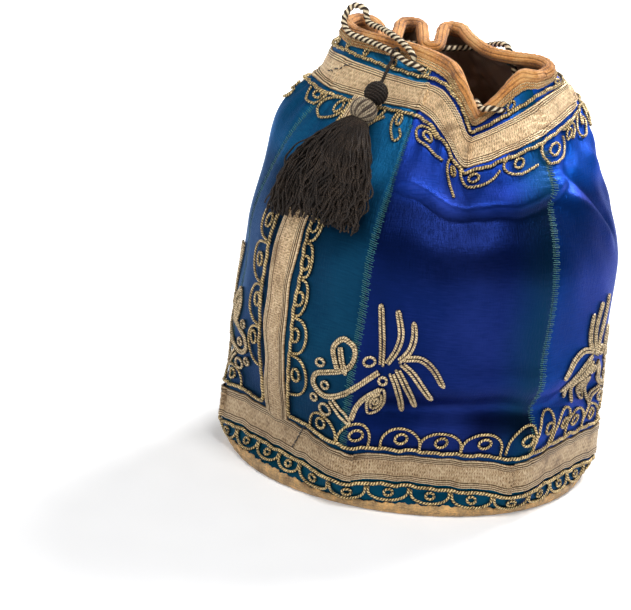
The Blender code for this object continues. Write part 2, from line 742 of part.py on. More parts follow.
def smooth_route(places, step, fine_steps=24):
    """Points at an even step along the smooth curve through the places."""
    ends = [2 * places[0] - places[1]] + list(places) + [2 * places[-1] - places[-2]]
    fine = []
    for p0, p1, p2, p3 in zip(ends, ends[1:], ends[2:], ends[3:]):
        fine += [hermite(p1, (p2 - p0) / 2, p2, (p3 - p1) / 2, k / fine_steps)
                 for k in range(fine_steps)]
    fine.append(places[-1])
    walked = [0.0]
    for a, b in zip(fine, fine[1:]):
        walked.append(walked[-1] + (b - a).length)
    count = round(walked[-1] / step)
    points = []
    k = 0
    for target in [walked[-1] * i / count for i in range(count + 1)]:
        while k < len(walked) - 2 and walked[k + 1] < target:
            k += 1
        share = (target - walked[k]) / (walked[k + 1] - walked[k])
        points.append(fine[k].lerp(fine[k + 1], share))
    return points


def knot_place():
    """The middle of the knot."""
    return below_rim(*DRAWSTRING_ROUTE[0])


@lru_cache(maxsize=None)
def route_places():
    """The route's points in the world, with both ends stopped at the knot's face."""
    places = [below_rim(angle, depth, out) for angle, depth, out in DRAWSTRING_ROUTE]
    for end, beside in ((0, 1), (-1, -2)):
        way = (places[beside] - knot_place()).normalized()
        places[end] = knot_place() + way * (KNOT_RADIUS + GAP)
    return places


def cylinder_between(name, start, end, radius):
    """A plain cylinder, kept as a cutter that isn't part of the bag."""
    way = end - start
    form = bmesh.new()
    bmesh.ops.create_cone(form, cap_ends=True, segments=EYELET_SIDES, radius1=radius,
                          radius2=radius, depth=way.length)
    mesh = bpy.data.meshes.new(name)
    turn = way.to_track_quat("Z", "Y").to_matrix().to_4x4()
    form.transform(Matrix.Translation((start + end) / 2) @ turn)
    form.to_mesh(mesh)
    form.free()
    made = bpy.data.objects.new(name, mesh)
    made.hide_render = True
    made.display_type = "WIRE"
    bpy.context.collection.objects.link(made)
    return made


def cut(target, cutter):
    """Take the cutter's shape out of the target."""
    change = target.modifiers.new(cutter.name, "BOOLEAN")
    change.operation = "DIFFERENCE"
    change.object = cutter


def panel_at(panels, angle):
    """The silk panel that has a fabric angle."""
    turn = SEAM_ANGLES[0] + (angle - SEAM_ANGLES[0]) % 360
    return panels[sum(turn >= seam for seam in SEAM_ANGLES) - 1]


def cut_eyelets(panels, lined):
    """Pierce the silk and the lining along the drawstring's own direction."""
    places = route_places()
    for number in EYELETS:
        way = (places[number + 1] - places[number - 1]).normalized() * EYELET_REACH
        name = f"eyelet_cutter_{number}"
        cutter = cylinder_between(name, places[number] - way, places[number] + way, EYELET_RADIUS)
        cut(panel_at(panels, DRAWSTRING_ROUTE[number][0]), cutter)
        cut(lined, cutter)


def drawstring():
    """The cord, and the knot that joins its ends inside."""
    points = smooth_route(route_places(), DRAWSTRING_STEP)
    cord_object("drawstring", points, DRAWSTRING_RADIUS, "drawstring")
    profile = ball_profile(KNOT_RADIUS * KNOT_SQUASH_FACTOR, KNOT_RADIUS)
    turned("drawstring_knot", knot_place(), points[0] - points[-1], profile, KNOT_SIDES, "drawstring")
    length = sum((b - a).length for a, b in zip(points, points[1:]))
    print(f"drawstring {length:.3f} m in {len(points)} points")


# The tassel

def loop_place():
    """Where the tassel's loop goes round the drawstring, and the drawstring's direction there."""
    places = route_places()
    way = (places[LOOP_POINT + 1] - places[LOOP_POINT - 1]).normalized()
    return places[LOOP_POINT], way


def tassel_place(distance, out):
    """A place in the tassel, a distance down the cloth from its loop."""
    share = distance / TASSEL_LEAN_LENGTH
    angle = TASSEL_ANGLES[0] + (TASSEL_ANGLES[1] - TASSEL_ANGLES[0]) * share
    return below_rim(angle, DRAWSTRING_ROUTE[LOOP_POINT][1] + distance, out)


def tassel_lift():
    """How far the tassel's underside lies from the silk, clear of the cords beneath it."""
    return BORDER_CORD_GAP + 2 * BORDER_CORD_RADIUS + TASSEL_CLEARANCE


def knob_place():
    """The middle of the tassel's knob."""
    return tassel_place(TASSEL_DROP, tassel_lift() + TASSEL_KNOB_RADIUS)


def tassel_parts():
    """Distances down from the loop: the collar's middle, and the skirt's top."""
    collar = TASSEL_DROP + TASSEL_KNOB_RADIUS + GAP + TASSEL_COLLAR_HEIGHT / 2
    return collar, collar + TASSEL_COLLAR_HEIGHT / 2 + 2 * GAP


def tassel_link():
    """The loop round the drawstring, and the short cord down to the knob."""
    place, way = loop_place()
    ring = DRAWSTRING_RADIUS + TASSEL_LOOP_SPACE + TASSEL_LOOP_THREAD
    turn = way.to_track_quat("Z", "X").to_matrix()
    points = []
    for k in range(TASSEL_LOOP_POINTS):
        angle = 2 * math.pi * k / TASSEL_LOOP_POINTS
        points.append(place + turn @ Vector((ring * math.cos(angle), ring * math.sin(angle), 0)))
    cord_object("tassel_loop", points, TASSEL_LOOP_THREAD, "tassel", True, 1, place)
    down = (knob_place() - place).normalized()
    start = place + down * (ring + TASSEL_LOOP_THREAD + GAP)
    end = knob_place() - down * (TASSEL_KNOB_RADIUS + GAP)
    points = [start.lerp(end, k / 4) for k in range(5)]
    cord_object("tassel_cord", points, TASSEL_CORD_RADIUS, "tassel", origin=place)


def tassel_head():
    """The dark knob and the ribbed collar under it."""
    knob = knob_place()
    collar_distance, skirt_distance = tassel_parts()
    collar_reach = tassel_lift() + TASSEL_COLLAR_RADIUS
    collar = tassel_place(collar_distance, collar_reach)
    axis = (collar - knob).normalized()
    collar = knob + axis * (TASSEL_KNOB_RADIUS + GAP + TASSEL_COLLAR_HEIGHT / 2)
    turned("tassel_knob", knob, axis, ball_profile(TASSEL_KNOB_RADIUS, TASSEL_KNOB_RADIUS), 12,
           "tassel", knob)
    turned("tassel_collar", collar, axis,
           ball_profile(TASSEL_COLLAR_RADIUS, TASSEL_COLLAR_HEIGHT / 2), 2 * TASSEL_COLLAR_RIBS,
           "tassel_head", knob, TASSEL_RIB_DEPTH)


def tassel_skirt():
    """The skirt of strands, one fluted solid that lies along the shoulder."""
    top = tassel_parts()[1]
    first, last = TASSEL_BELLY_SHARES
    sections = []
    for i in range(TASSEL_SKIRT_STATIONS):
        share = i / (TASSEL_SKIRT_STATIONS - 1)
        spread = math.sin(math.pi / 2 * min(share / TASSEL_WIDEST_SHARE, 1.0))
        half_width = (TASSEL_SKIRT_TOP + (TASSEL_SKIRT_WIDTH - TASSEL_SKIRT_TOP) * spread) / 2
        belly = math.sin(math.pi * (first + (last - first) * share))
        half_depth = TASSEL_SKIRT_DEPTH * belly / 2
        distance = top + TASSEL_SKIRT_LENGTH * share
        out = tassel_lift() + half_depth
        middle = tassel_place(distance, out)
        way = tassel_place(distance + GAP, out) - tassel_place(distance - GAP, out)
        level_out = (tassel_place(distance, out + GAP) - middle).normalized()
        side = way.cross(level_out).normalized()
        ring = []
        count = 2 * TASSEL_SKIRT_FLUTES
        for k in range(count):
            angle = 2 * math.pi * k / count
            reach = 1 - TASSEL_FLUTE_SHARE * (k % 2)
            ring.append(middle + side * (half_width * reach * math.cos(angle))
                        + level_out * (half_depth * reach * math.sin(angle)))
        sections.append(ring)
    closed_profile("tassel_skirt", sections, "tassel", knob_place())


# Assembly

def clear_scene():
    """Remove what the file opened with."""
    for old in list(bpy.data.objects):
        bpy.data.objects.remove(old)


def build():
    """Make every piece."""
    clear_scene()
    panels = silk_panels()
    lined = lining()
    cut_eyelets(panels, lined)
    base()
    base_binding()
    rim_binding()
    trimmings()
    drawstring()
    tassel_link()
    tassel_head()
    tassel_skirt()


build()
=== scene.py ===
# %% [markdown]
# # A silk drawstring bag with gilt trimmings
#
# This lesson dresses a bag whose solids are already built. The solids give every size and place.
# The cells below add what makes it look real: creased satin, woven galon, couched cord, a worn
# binding, a two-ply drawstring and a tassel of single strands.
#
# Each step has a text cell like this one, and then a short code cell that does the work.

# %% Load the frame and note its box
import math

import bpy
import numpy as np
from mathutils import Matrix, Vector


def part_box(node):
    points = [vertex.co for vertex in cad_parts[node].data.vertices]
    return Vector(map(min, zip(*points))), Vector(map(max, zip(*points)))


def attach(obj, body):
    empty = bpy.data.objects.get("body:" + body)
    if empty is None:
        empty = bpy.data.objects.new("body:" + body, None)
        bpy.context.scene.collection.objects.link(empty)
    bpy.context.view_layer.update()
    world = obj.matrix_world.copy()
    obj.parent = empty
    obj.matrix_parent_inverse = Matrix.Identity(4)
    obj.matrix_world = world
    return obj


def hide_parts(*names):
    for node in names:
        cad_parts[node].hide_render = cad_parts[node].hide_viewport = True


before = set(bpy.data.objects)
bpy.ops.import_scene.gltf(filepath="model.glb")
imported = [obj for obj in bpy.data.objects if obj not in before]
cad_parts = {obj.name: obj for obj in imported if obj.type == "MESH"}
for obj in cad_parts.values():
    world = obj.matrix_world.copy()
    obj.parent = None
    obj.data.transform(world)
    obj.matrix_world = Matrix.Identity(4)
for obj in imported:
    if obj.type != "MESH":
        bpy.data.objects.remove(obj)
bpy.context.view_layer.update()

MM = 0.001

# %% [markdown]
# ## One surface for everything that is sewn
#
# On the real bag nearly every part is stitched to the same cloth, so nearly every part has to
# follow the same surface. We could project each trimming onto a finished mesh, but folds make
# such projections slip. It is safer to give the cloth its own coordinates.
#
# A place on the cloth has a *fabric angle*, in degrees from the middle of the front, and a
# *level*: 0 is the floor, 1 the shoulder, 2 the lower edge of the upper galon, and 3 the rim. The
# two tables below say where the rim and the galon's edge run, as shares of the body's radius.

# %% The bag's measures
BODY_RADIUS = 0.085
BASE_RADIUS = 0.0785
SHOULDER_RADIUS = 0.083
SHOULDER_SHIFT = 0.002
SHOULDER_HEIGHT = 0.100
SHOULDER_RISE = 0.075
EDGE_ROUND_HEIGHT = 0.012
EDGE_ROUND_POWER = 1.8
UPPER_GALON_HEIGHT = 0.169
RIM_HEIGHT = 0.194
FRONT_FOLD_DEPTH = 0.0275
GALON_RISE_SHARE = 0.42
RIM_RISE_SHARE = 0.9
CORNER_ANGLES = (-80, -18.5, 36.5, 87, 150, 215)
CORNER_SHARPNESS = 26
CORNER_SWELL = 1.03
CORNER_FULL_HEIGHT = 0.018
CORNER_FADE_LENGTH = 0.060
SEAM_ANGLES = (-77, -18, 40, 101, 162, 223)

# %% Where the rim and the upper galon's lower edge run
RIM_CURVE = (
    (-112, -0.545, 0.14, 0.04), (-95, -0.51, 0.01, 0.07), (-75, -0.44, -0.04, 0.11),
    (-50, -0.29, -0.11, 0.15), (-28, -0.13, -0.18, 0.20), (-8, 0.02, -0.30, 0.30),
    (0, 0.075, -0.39, 0.47), (7, 0.125, -0.395, 0.77), (15, 0.17, -0.34, 1.00),
    (24, 0.26, -0.30, 0.76), (36, 0.36, -0.275, 0.35), (44, 0.43, -0.27, 0.32),
    (52, 0.47, -0.21, 0.34), (60, 0.51, -0.15, 0.26), (70, 0.46, -0.08, 0.20),
    (88, 0.32, -0.05, 0.20), (104, 0.20, -0.01, 0.18), (118, 0.115, 0.09, 0.10),
    (126, 0.075, 0.18, 0.05), (133, 0.05, 0.25, 0.01), (140, -0.005, 0.28, 0.00),
    (146, -0.050, 0.24, 0.02), (151, -0.060, 0.15, 0.09), (155, -0.065, 0.06, 0.17),
    (160, -0.078, 0.01, 0.20), (166, -0.122, 0.01, 0.20), (171, -0.135, 0.06, 0.17),
    (175, -0.145, 0.15, 0.09), (180, -0.16, 0.24, 0.02), (187, -0.215, 0.28, 0.00),
    (194, -0.27, 0.24, 0.02), (198, -0.280, 0.15, 0.09), (202, -0.285, 0.06, 0.16),
    (207, -0.298, 0.01, 0.18), (213, -0.342, 0.01, 0.18), (217, -0.355, 0.06, 0.16),
    (222, -0.370, 0.15, 0.08), (230, -0.42, 0.23, 0.02), (240, -0.50, 0.24, 0.01))
GALON_CURVE = (
    (-112, -0.67, 0.24, 0.11), (-95, -0.66, 0.07, 0.11), (-75, -0.58, -0.14, 0.11),
    (-50, -0.40, -0.30, 0.11), (-28, -0.22, -0.40, 0.16), (-8, -0.06, -0.47, 0.27),
    (3, 0.05, -0.56, 0.56), (10, 0.11, -0.61, 0.78), (14, 0.15, -0.61, 0.81),
    (24, 0.30, -0.55, 0.62), (38, 0.49, -0.37, 0.37), (50, 0.61, -0.12, 0.20),
    (64, 0.67, 0.09, 0.10), (82, 0.62, 0.26, 0.04), (100, 0.48, 0.36, 0.02),
    (120, 0.28, 0.47, -0.06), (142, 0.10, 0.56, -0.10), (161, -0.09, 0.40, 0.00),
    (180, -0.25, 0.55, -0.10), (199, -0.40, 0.42, 0.00), (217, -0.52, 0.42, -0.02),
    (234, -0.62, 0.38, 0.04))

# %% [markdown]
# ## From fabric coordinates to space
#
# The functions work on whole arrays at once, which numpy does in a blink. `hermite` is the cubic
# that leaves one place and arrives at another with chosen slopes. It makes the smooth rise from
# shoulder to galon to rim. `through` runs a smooth closed curve through one of the tables.

# %% Curves through points
def hermite(start, start_slope, end, end_slope, s):
    return ((2 * s ** 3 - 3 * s ** 2 + 1) * start + (s ** 3 - 2 * s ** 2 + s) * start_slope
            + (3 * s ** 2 - 2 * s ** 3) * end + (s ** 3 - s ** 2) * end_slope)


def ease(x):
    x = np.clip(x, 0.0, 1.0)
    return x * x * (3 - 2 * x)


def through(table, angles):
    rows = np.array(table, float)
    knots = np.concatenate([rows[-2:, 0] - 360, rows[:, 0], rows[:3, 0] + 360])
    places = np.concatenate([rows[-2:, 1:], rows[:, 1:], rows[:3, 1:]])
    wrapped = rows[0, 0] + (angles - rows[0, 0]) % 360
    k = np.searchsorted(knots, wrapped, side="right") - 1
    span = knots[k + 1] - knots[k]
    slope_in = (places[k + 1] - places[k - 1]) * (span / (knots[k + 1] - knots[k - 1]))[:, None]
    slope_out = (places[k + 2] - places[k]) * (span / (knots[k + 2] - knots[k]))[:, None]
    share = ((wrapped - knots[k]) / span)[:, None]
    return hermite(places[k], slope_in, places[k + 1], slope_out, share)


# %% The body, with the squared corners that the stiff lower galon folds into
def corner_share(angles):
    laps = list(CORNER_ANGLES) + [CORNER_ANGLES[0] + 360]
    total = np.zeros_like(angles)
    for low, high in zip(laps, laps[1:]):
        half = math.radians((high - low) / 2)
        turn = np.radians(angles - (low + high) / 2)
        total += np.maximum(0.0, np.cos(turn) / math.cos(half)) ** CORNER_SHARPNESS
    return total ** (-1 / CORNER_SHARPNESS)


def body_points(angles, heights):
    rise = np.clip(heights / EDGE_ROUND_HEIGHT, 0, 1)
    radius = BODY_RADIUS - (BODY_RADIUS - BASE_RADIUS) * (1 - rise) ** EDGE_ROUND_POWER
    above = np.maximum(heights - EDGE_ROUND_HEIGHT, 0) / (SHOULDER_HEIGHT - EDGE_ROUND_HEIGHT)
    radius = radius + (SHOULDER_RADIUS - BODY_RADIUS) * above
    squared = ease(heights / EDGE_ROUND_HEIGHT)
    squared = squared * (1 - ease((heights - CORNER_FULL_HEIGHT) / CORNER_FADE_LENGTH))
    radius = radius * (1 + squared * (corner_share(angles) * CORNER_SWELL - 1))
    shift = SHOULDER_SHIFT * ease(2 * heights / SHOULDER_HEIGHT - 1)
    turn = np.radians(angles)
    return np.stack([radius * np.sin(turn) + shift, -radius * np.cos(turn), heights], -1)


# %% The whole wall, from the floor to the rim
def gathered(table, angles, top):
    shares = through(table, angles)
    return np.stack([shares[:, 0] * BODY_RADIUS, shares[:, 1] * BODY_RADIUS,
                     top - shares[:, 2] * FRONT_FOLD_DEPTH], -1)


def wall(angles, levels):
    angles, levels = np.broadcast_arrays(np.asarray(angles, float), np.asarray(levels, float))
    shape = angles.shape
    angles, levels = angles.ravel(), levels.ravel()
    low = body_points(angles, np.minimum(levels, 1) * SHOULDER_HEIGHT)
    shoulder = body_points(angles, np.full_like(angles, SHOULDER_HEIGHT))
    galon = gathered(GALON_CURVE, angles, UPPER_GALON_HEIGHT)
    rim = gathered(RIM_CURVE, angles, RIM_HEIGHT)
    galon_slope = (rim - shoulder) * GALON_RISE_SHARE
    upward = np.array([0, 0, SHOULDER_RISE])
    drawn = hermite(shoulder, upward, galon, galon_slope, np.clip(levels - 1, 0, 1)[:, None])
    strip = hermite(galon, galon_slope, rim, (rim - galon) * RIM_RISE_SHARE,
                    np.clip(levels - 2, 0, 1)[:, None])
    places = np.where((levels <= 1)[:, None], low, np.where((levels <= 2)[:, None], drawn, strip))
    return places.reshape(shape + (3,))


print("front shoulder in mm:", np.round(wall(0, 1) / MM, 1),
      "front rim:", np.round(wall(0, 3) / MM, 1))

# %% [markdown]
# ## A table of the cloth
#
# Working the curves out again for every stitch would be slow, so we store the cloth once, as a
# fine table of places with a column every half degree. Each entry also has its outward direction
# and its distance along the cloth from the floor. With these, a trimming can be measured as its
# maker would measure it, in millimetres up from the base or down from the rim.

# %% The smooth table
COLUMN_STEP = 0.5
ANGLES = np.arange(-120, 240, COLUMN_STEP)
LEVELS = np.concatenate([np.linspace(0, 0.3, 41), np.linspace(0.3, 1, 61)[1:],
                         np.linspace(1, 3, 161)[1:]])


def directions(places):
    around = np.roll(places, -1, 0) - np.roll(places, 1, 0)
    upward = np.gradient(places, axis=1)
    outward = np.cross(around, upward)
    return outward / np.linalg.norm(outward, axis=2)[:, :, None]


def lengths_up(places):
    steps = np.linalg.norm(np.diff(places, axis=1), axis=2)
    return np.concatenate([np.zeros((len(places), 1)), steps.cumsum(1)], 1)


smooth_places = wall(ANGLES[:, None], LEVELS[None, :])
cloth_length = lengths_up(smooth_places)
print("table:", smooth_places.shape[:2], "cloth height in mm:",
      round(cloth_length[:, -1].min() / MM), "to", round(cloth_length[:, -1].max() / MM))

# %% [markdown]
# ## Creases and folds
#
# Satin never lies flat on a bag. Under the front fold a soft crease swings from side to side,
# above the base the cloth sags into a roll with a dark hollow under it, and on the right the
# fold of the mouth throws slanting creases down the panel. At both sides, loose silk makes a full
# shoulder under the upper band.
#
# A cloth simulation could find such folds, but not these ones. The places of the folds are
# known, so each is written as a low ridge or hollow along a line on the cloth. The trimmings are
# laid on the same creased table, so they rise and fall with the silk.

# %% Ridges and hollows along lines on the cloth
def swell(x, middle, width):
    return np.exp(-((x - middle) / width) ** 2)


def between(x, low, high, soft):
    return ease((x - low) / soft + 0.5) * ease((high - x) / soft + 0.5)


CREASE_LINE = ((-16, 62), (-8, 60), (0, 57), (8, 52), (15, 49.5), (21, 52), (28, 56), (35, 57),
               (44, 54))
SAG_LINE = ((-20, 46), (-8, 47), (10, 49), (30, 51), (46, 49), (60, 53), (80, 45))


def front_crease(angles, down):
    """A full roll over the line, and a sharp dip under it that the cloth slowly leaves."""
    below = down - np.interp(angles, *zip(*CREASE_LINE))
    roll = np.where(below < 0, np.exp(-(below / 13) ** 2), np.exp(-(below / 2.6) ** 2))
    dip = np.where(below < 5, swell(below, 5, 3.2), np.exp(-((below - 5) / 12) ** 2))
    return between(angles, -15, 46, 12) * (2.4 * roll - 1.5 * dip)


def sagging_roll(angles, up):
    line = np.interp(angles, *zip(*SAG_LINE))
    shown = between(angles, -15, 78, 10)
    return shown * (2.0 * swell(up, line + 13, 7) - 3.2 * swell(up, line, 5.5)
                    + 0.6 * swell(up, line - 10, 5))


def slanting_creases(angles, down):
    total = np.zeros_like(angles)
    for start, depth, slope, height, width in ((42, 55, 1.1, 2.2, 5.0), (46, 48, 1.2, -2.4, 4.5),
                                               (62, 56, 1.0, 1.5, 6.0), (72, 48, 0.8, -1.2, 6.0)):
        across = down - depth - (angles - start) * slope * 1.48
        total += height * swell(across, 0, width) * between(angles, start, start + 30, 9)
    pocket = swell(angles, 50, 3.4) * swell(down, 46, 7)
    return total - 2.8 * pocket


def drawn_flutes(angles, down):
    tassel_bed = between(angles, -66, -22, 6)
    flutes = np.cos(np.radians(angles * 40 + 25 * np.sin(np.radians(5 * angles))))
    return 0.55 * flutes * swell(down, 33, 14) * (1 - 0.9 * tassel_bed)


# %% Seams that pull in, and the slight unevenness of the whole cloth
def seam_pull(angles, up):
    total = np.zeros_like(angles)
    for seam in SEAM_ANGLES:
        aside = np.radians((angles - seam + 180) % 360 - 180) * BODY_RADIUS / MM
        total -= 0.45 * swell(aside, 0, 1.3)
        total += 0.22 * np.sin(up * 1.9 + seam) * swell(aside, 0, 5)
    return total


def unevenness(angles, up):
    turn = np.radians(angles)
    total = 0.35 * np.sin(5 * turn + 0.045 * up) * np.sin(0.060 * up + 2 * turn)
    total += 0.25 * np.sin(11 * turn - 0.080 * up + 1.7) + 0.15 * np.sin(23 * turn + 0.13 * up)
    return total


def full_shoulder(angles, up, down):
    """Loose silk blouses out at both sides, and dips over the lower band on the left."""
    left = 8.2 * swell(angles, -97, 20) * swell(down, 49, 22)
    dip = 2.4 * swell(angles, -97, 18) * swell(up, 46, 13)
    right = 7.4 * swell(angles, 88, 19) * swell(down, 53, 18)
    return left - dip + right


def relief(angles, up, down):
    open_silk = ease((up - 29) / 7) * ease((down - 25) / 6)
    folds = front_crease(angles, down) + sagging_roll(angles, up) + slanting_creases(angles, down)
    folds += drawn_flutes(angles, down) + unevenness(angles, up) + full_shoulder(angles, up, down)
    sewn_in = ease((up - 16) / 10) * ease((down - 8) / 10) * seam_pull(angles, up)
    return MM * (open_silk * folds + sewn_in)


# %% The creased table, and the functions that lay things on it
up_mm = cloth_length / MM
down_mm = up_mm[:, -1:] - up_mm
relief_table = relief(ANGLES[:, None] + 0 * up_mm, up_mm, down_mm)
creased_places = smooth_places + relief_table[:, :, None] * directions(smooth_places)
creased_directions = directions(creased_places)


def sample(table, angles, levels):
    column = (angles - ANGLES[0]) / COLUMN_STEP
    row = np.interp(levels, LEVELS, np.arange(len(LEVELS)))
    i = np.floor(column).astype(int)
    j = np.minimum(row.astype(int), len(LEVELS) - 2)
    across, upward = (column - i)[..., None], (row - j)[..., None]
    count = len(ANGLES)
    low = table[i % count, j] * (1 - across) + table[(i + 1) % count, j] * across
    high = table[i % count, j + 1] * (1 - across) + table[(i + 1) % count, j + 1] * across
    return low * (1 - upward) + high * upward


def column_of(angles):
    return np.rint((angles - ANGLES[0]) / COLUMN_STEP).astype(int) % len(ANGLES)


def level_up(angles, up):
    """The level at a distance up the cloth from the floor, in millimetres."""
    angles, up = np.broadcast_arrays(np.asarray(angles, float), np.asarray(up, float))
    found = [np.interp(length * MM, cloth_length[c], LEVELS)
             for c, length in zip(column_of(angles).ravel(), up.ravel())]
    return np.array(found).reshape(angles.shape)


def level_down(angles, down):
    """The level at a distance down the cloth from the rim, in millimetres."""
    angles = np.asarray(angles, float)
    return level_up(angles, cloth_length[column_of(angles), -1] / MM - down)


def sewn(angles, levels, out):
    """Places at a distance out from the creased silk, in millimetres."""
    angles, levels, out = np.broadcast_arrays(np.asarray(angles, float), np.asarray(levels, float),
                                              np.asarray(out, float))
    outward = sample(creased_directions, angles, levels)
    outward = outward / np.linalg.norm(outward, axis=-1, keepdims=True)
    return sample(creased_places, angles, levels) + out[..., None] * MM * outward, outward


print("relief in mm from", round(relief_table.min() / MM, 2),
      "to", round(relief_table.max() / MM, 2))

# %% [markdown]
# ## Making meshes from arrays
#
# Cloth, woven bands and cords are all made the same way: a grid of places, with faces between
# neighbours. Each vertex also gets texture coordinates in metres, along the piece and across
# it, so that a weave or twist in a material has its real size.

# %% Grids of faces, and a piece that rides on a body
def lattice(rows, columns, closed=False):
    """Quads between neighbouring rows of places; closed also joins the last column to the first."""
    count = columns if closed else columns - 1
    i, j = np.meshgrid(np.arange(rows - 1), np.arange(count), indexing="ij")
    k = (j + 1) % columns
    quads = np.stack([i * columns + j, i * columns + k, (i + 1) * columns + k,
                      (i + 1) * columns + j], -1)
    return quads.reshape(-1, 4)


def piece(name, places, faces, finish, slot, uv=None, body="bag", stands_for=()):
    mesh = bpy.data.meshes.new(name)
    mesh.from_pydata(places.reshape(-1, 3).tolist(), [], faces.tolist())
    if uv is not None:
        corners = np.empty(len(mesh.loops), np.int32)
        mesh.loops.foreach_get("vertex_index", corners)
        layer = mesh.uv_layers.new(name="along_and_across")
        layer.data.foreach_set("uv", uv.reshape(-1, 2)[corners].ravel())
    mesh.materials.append(finish)
    mesh.shade_smooth()
    made = bpy.data.objects.new(name, mesh)
    bpy.context.scene.collection.objects.link(made)
    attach(made, body)
    if stands_for:
        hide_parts(*stands_for)
    return made


def cloth_grid(angles, levels, out):
    """A grid over angles and levels, with its texture coordinates."""
    places, _ = sewn(angles, levels, out)
    along = np.radians(angles) * BODY_RADIUS
    across = sample(cloth_length[:, :, None], angles + 0 * levels, levels)[..., 0]
    uv = np.stack([along + 0 * levels, across], -1)
    return places, uv

# %% [markdown]
# ## Materials from nodes
#
# Every finish is worked out by nodes, with no pictures. One helper adds a node and connects its
# sockets. Patterns that belong to a band or cord read its own coordinates in metres. Patterns
# that belong to the whole bag, such as dust and fading, read its place in space.

# %% A helper for building node trees
def start_finish(name, roughness, metallic=0.0):
    made = bpy.data.materials.new(name)
    made.use_nodes = True
    shader = made.node_tree.nodes["Principled BSDF"]
    shader.inputs["Roughness"].default_value = roughness
    shader.inputs["Metallic"].default_value = metallic
    return made, made.node_tree, shader


def node(tree, kind, inputs=None, **settings):
    made = tree.nodes.new(kind)
    for key, value in settings.items():
        setattr(made, key, value)
    for key, value in (inputs or {}).items():
        if isinstance(value, bpy.types.NodeSocket):
            tree.links.new(value, made.inputs[key])
        else:
            made.inputs[key].default_value = value
    return made


def calc(tree, operation, first, second=0.0):
    return node(tree, "ShaderNodeMath", {0: first, 1: second}, operation=operation).outputs[0]


def plus(tree, first, second):
    return calc(tree, "ADD", first, second)


def minus(tree, first, second):
    return calc(tree, "SUBTRACT", first, second)


def times(tree, first, second):
    return calc(tree, "MULTIPLY", first, second)


def waves(tree, value, pitch, operation="SINE"):
    """A wave along a coordinate, with its pitch in metres."""
    return calc(tree, operation, times(tree, value, 2 * math.pi / pitch))


def part_of(tree, vector, index):
    return node(tree, "ShaderNodeSeparateXYZ", {0: vector}).outputs[index]


def faded(tree, value, start, end, low=0.0, high=1.0, smooth=True):
    """A number that goes from low to high while a value goes from start to end."""
    made = node(tree, "ShaderNodeMapRange", {"Value": value, "From Min": start, "From Max": end,
                                             "To Min": low, "To Max": high},
                interpolation_type="SMOOTHSTEP" if smooth else "LINEAR")
    return made.outputs[0]


def scaled(tree, colour, factor):
    """A colour made lighter or darker by a factor."""
    return node(tree, "ShaderNodeVectorMath", {0: colour, "Scale": factor},
                operation="SCALE").outputs[0]


def along_and_across(tree):
    parts = node(tree, "ShaderNodeSeparateXYZ", {0: node(tree, "ShaderNodeTexCoord").outputs["UV"]})
    return parts.outputs[0], parts.outputs[1]


def stretched_noise(tree, coordinates, scale, size, detail=2.0):
    """Noise whose grains have a size in metres, divided by scale along each axis."""
    mapped = node(tree, "ShaderNodeMapping", {"Vector": coordinates, "Scale": scale})
    return node(tree, "ShaderNodeTexNoise",
                {"Vector": mapped.outputs[0], "Scale": 1 / size, "Detail": detail}).outputs["Fac"]


def ramp(tree, factor, stops):
    made = node(tree, "ShaderNodeValToRGB", {"Fac": factor})
    elements = made.color_ramp.elements
    while len(elements) < len(stops):
        elements.new(0.5)
    for element, (place, colour) in zip(elements, stops):
        element.position = place
        element.color = (*colour, 1)
    return made.outputs["Color"]


def mixed(tree, factor, first, second):
    made = node(tree, "ShaderNodeMix", data_type="RGBA")
    for key, value in ((0, factor), (6, first), (7, second)):
        if isinstance(value, bpy.types.NodeSocket):
            tree.links.new(value, made.inputs[key])
        else:
            made.inputs[key].default_value = value if key == 0 else (*value, 1)
    return made.outputs[2]


def give(tree, shader, colour, height=None, depth=0.0001, roughness=None):
    tree.links.new(colour, shader.inputs["Base Color"])
    if roughness is not None:
        tree.links.new(roughness, shader.inputs["Roughness"])
    if height is not None:
        bump = node(tree, "ShaderNodeBump", {"Height": height, "Distance": depth, "Strength": 1.0})
        tree.links.new(bump.outputs[0], shader.inputs["Normal"])


# %% [markdown]
# ## Satin
#
# Satin is smooth because most of its warp threads float on the surface, and they make its long
# soft highlights. Three things give that look here: an uneven roughness, a stretched highlight
# (the shader's anisotropy), and very fine threads as a bump. The shader is partly metallic, so
# that a highlight takes the silk's own colour and the white floor adds no haze.
#
# The tone drifts across each panel. Painted light makes it lightest above the shoulder, where the
# silk turns up to the light, and painted shade darkens it below. It is teal at the hem. The front
# panel has more painted shade in a belt just below that height and in the hollow under its roll.
# It also turns from violet blue to teal at its right seam, as shot silk does.

# %% The satin of the panels
SEAM_TEAL = (0.002, 0.055, 0.125)
HEM_TEAL = (0.002, 0.062, 0.105)
HEM_HEIGHTS = (0.020, 0.030)
# Heights and factors of the painted light above the shoulder and the painted shade below it
FOOT_HEIGHTS = (0.090, 0.118)
LIT_HEIGHTS = (0.141, 0.153)
LIT_FACTOR = 1.75
FOOT_SHADE_FACTOR = 0.50
# Height and reach of the painted shade in the hollow under the front panel's roll
HOLLOW_HEIGHT = 0.0425
HOLLOW_SHADE_REACH = (0.002, 0.0085)
HOLLOW_SHADE_AROUND = (0.018, 0.036)


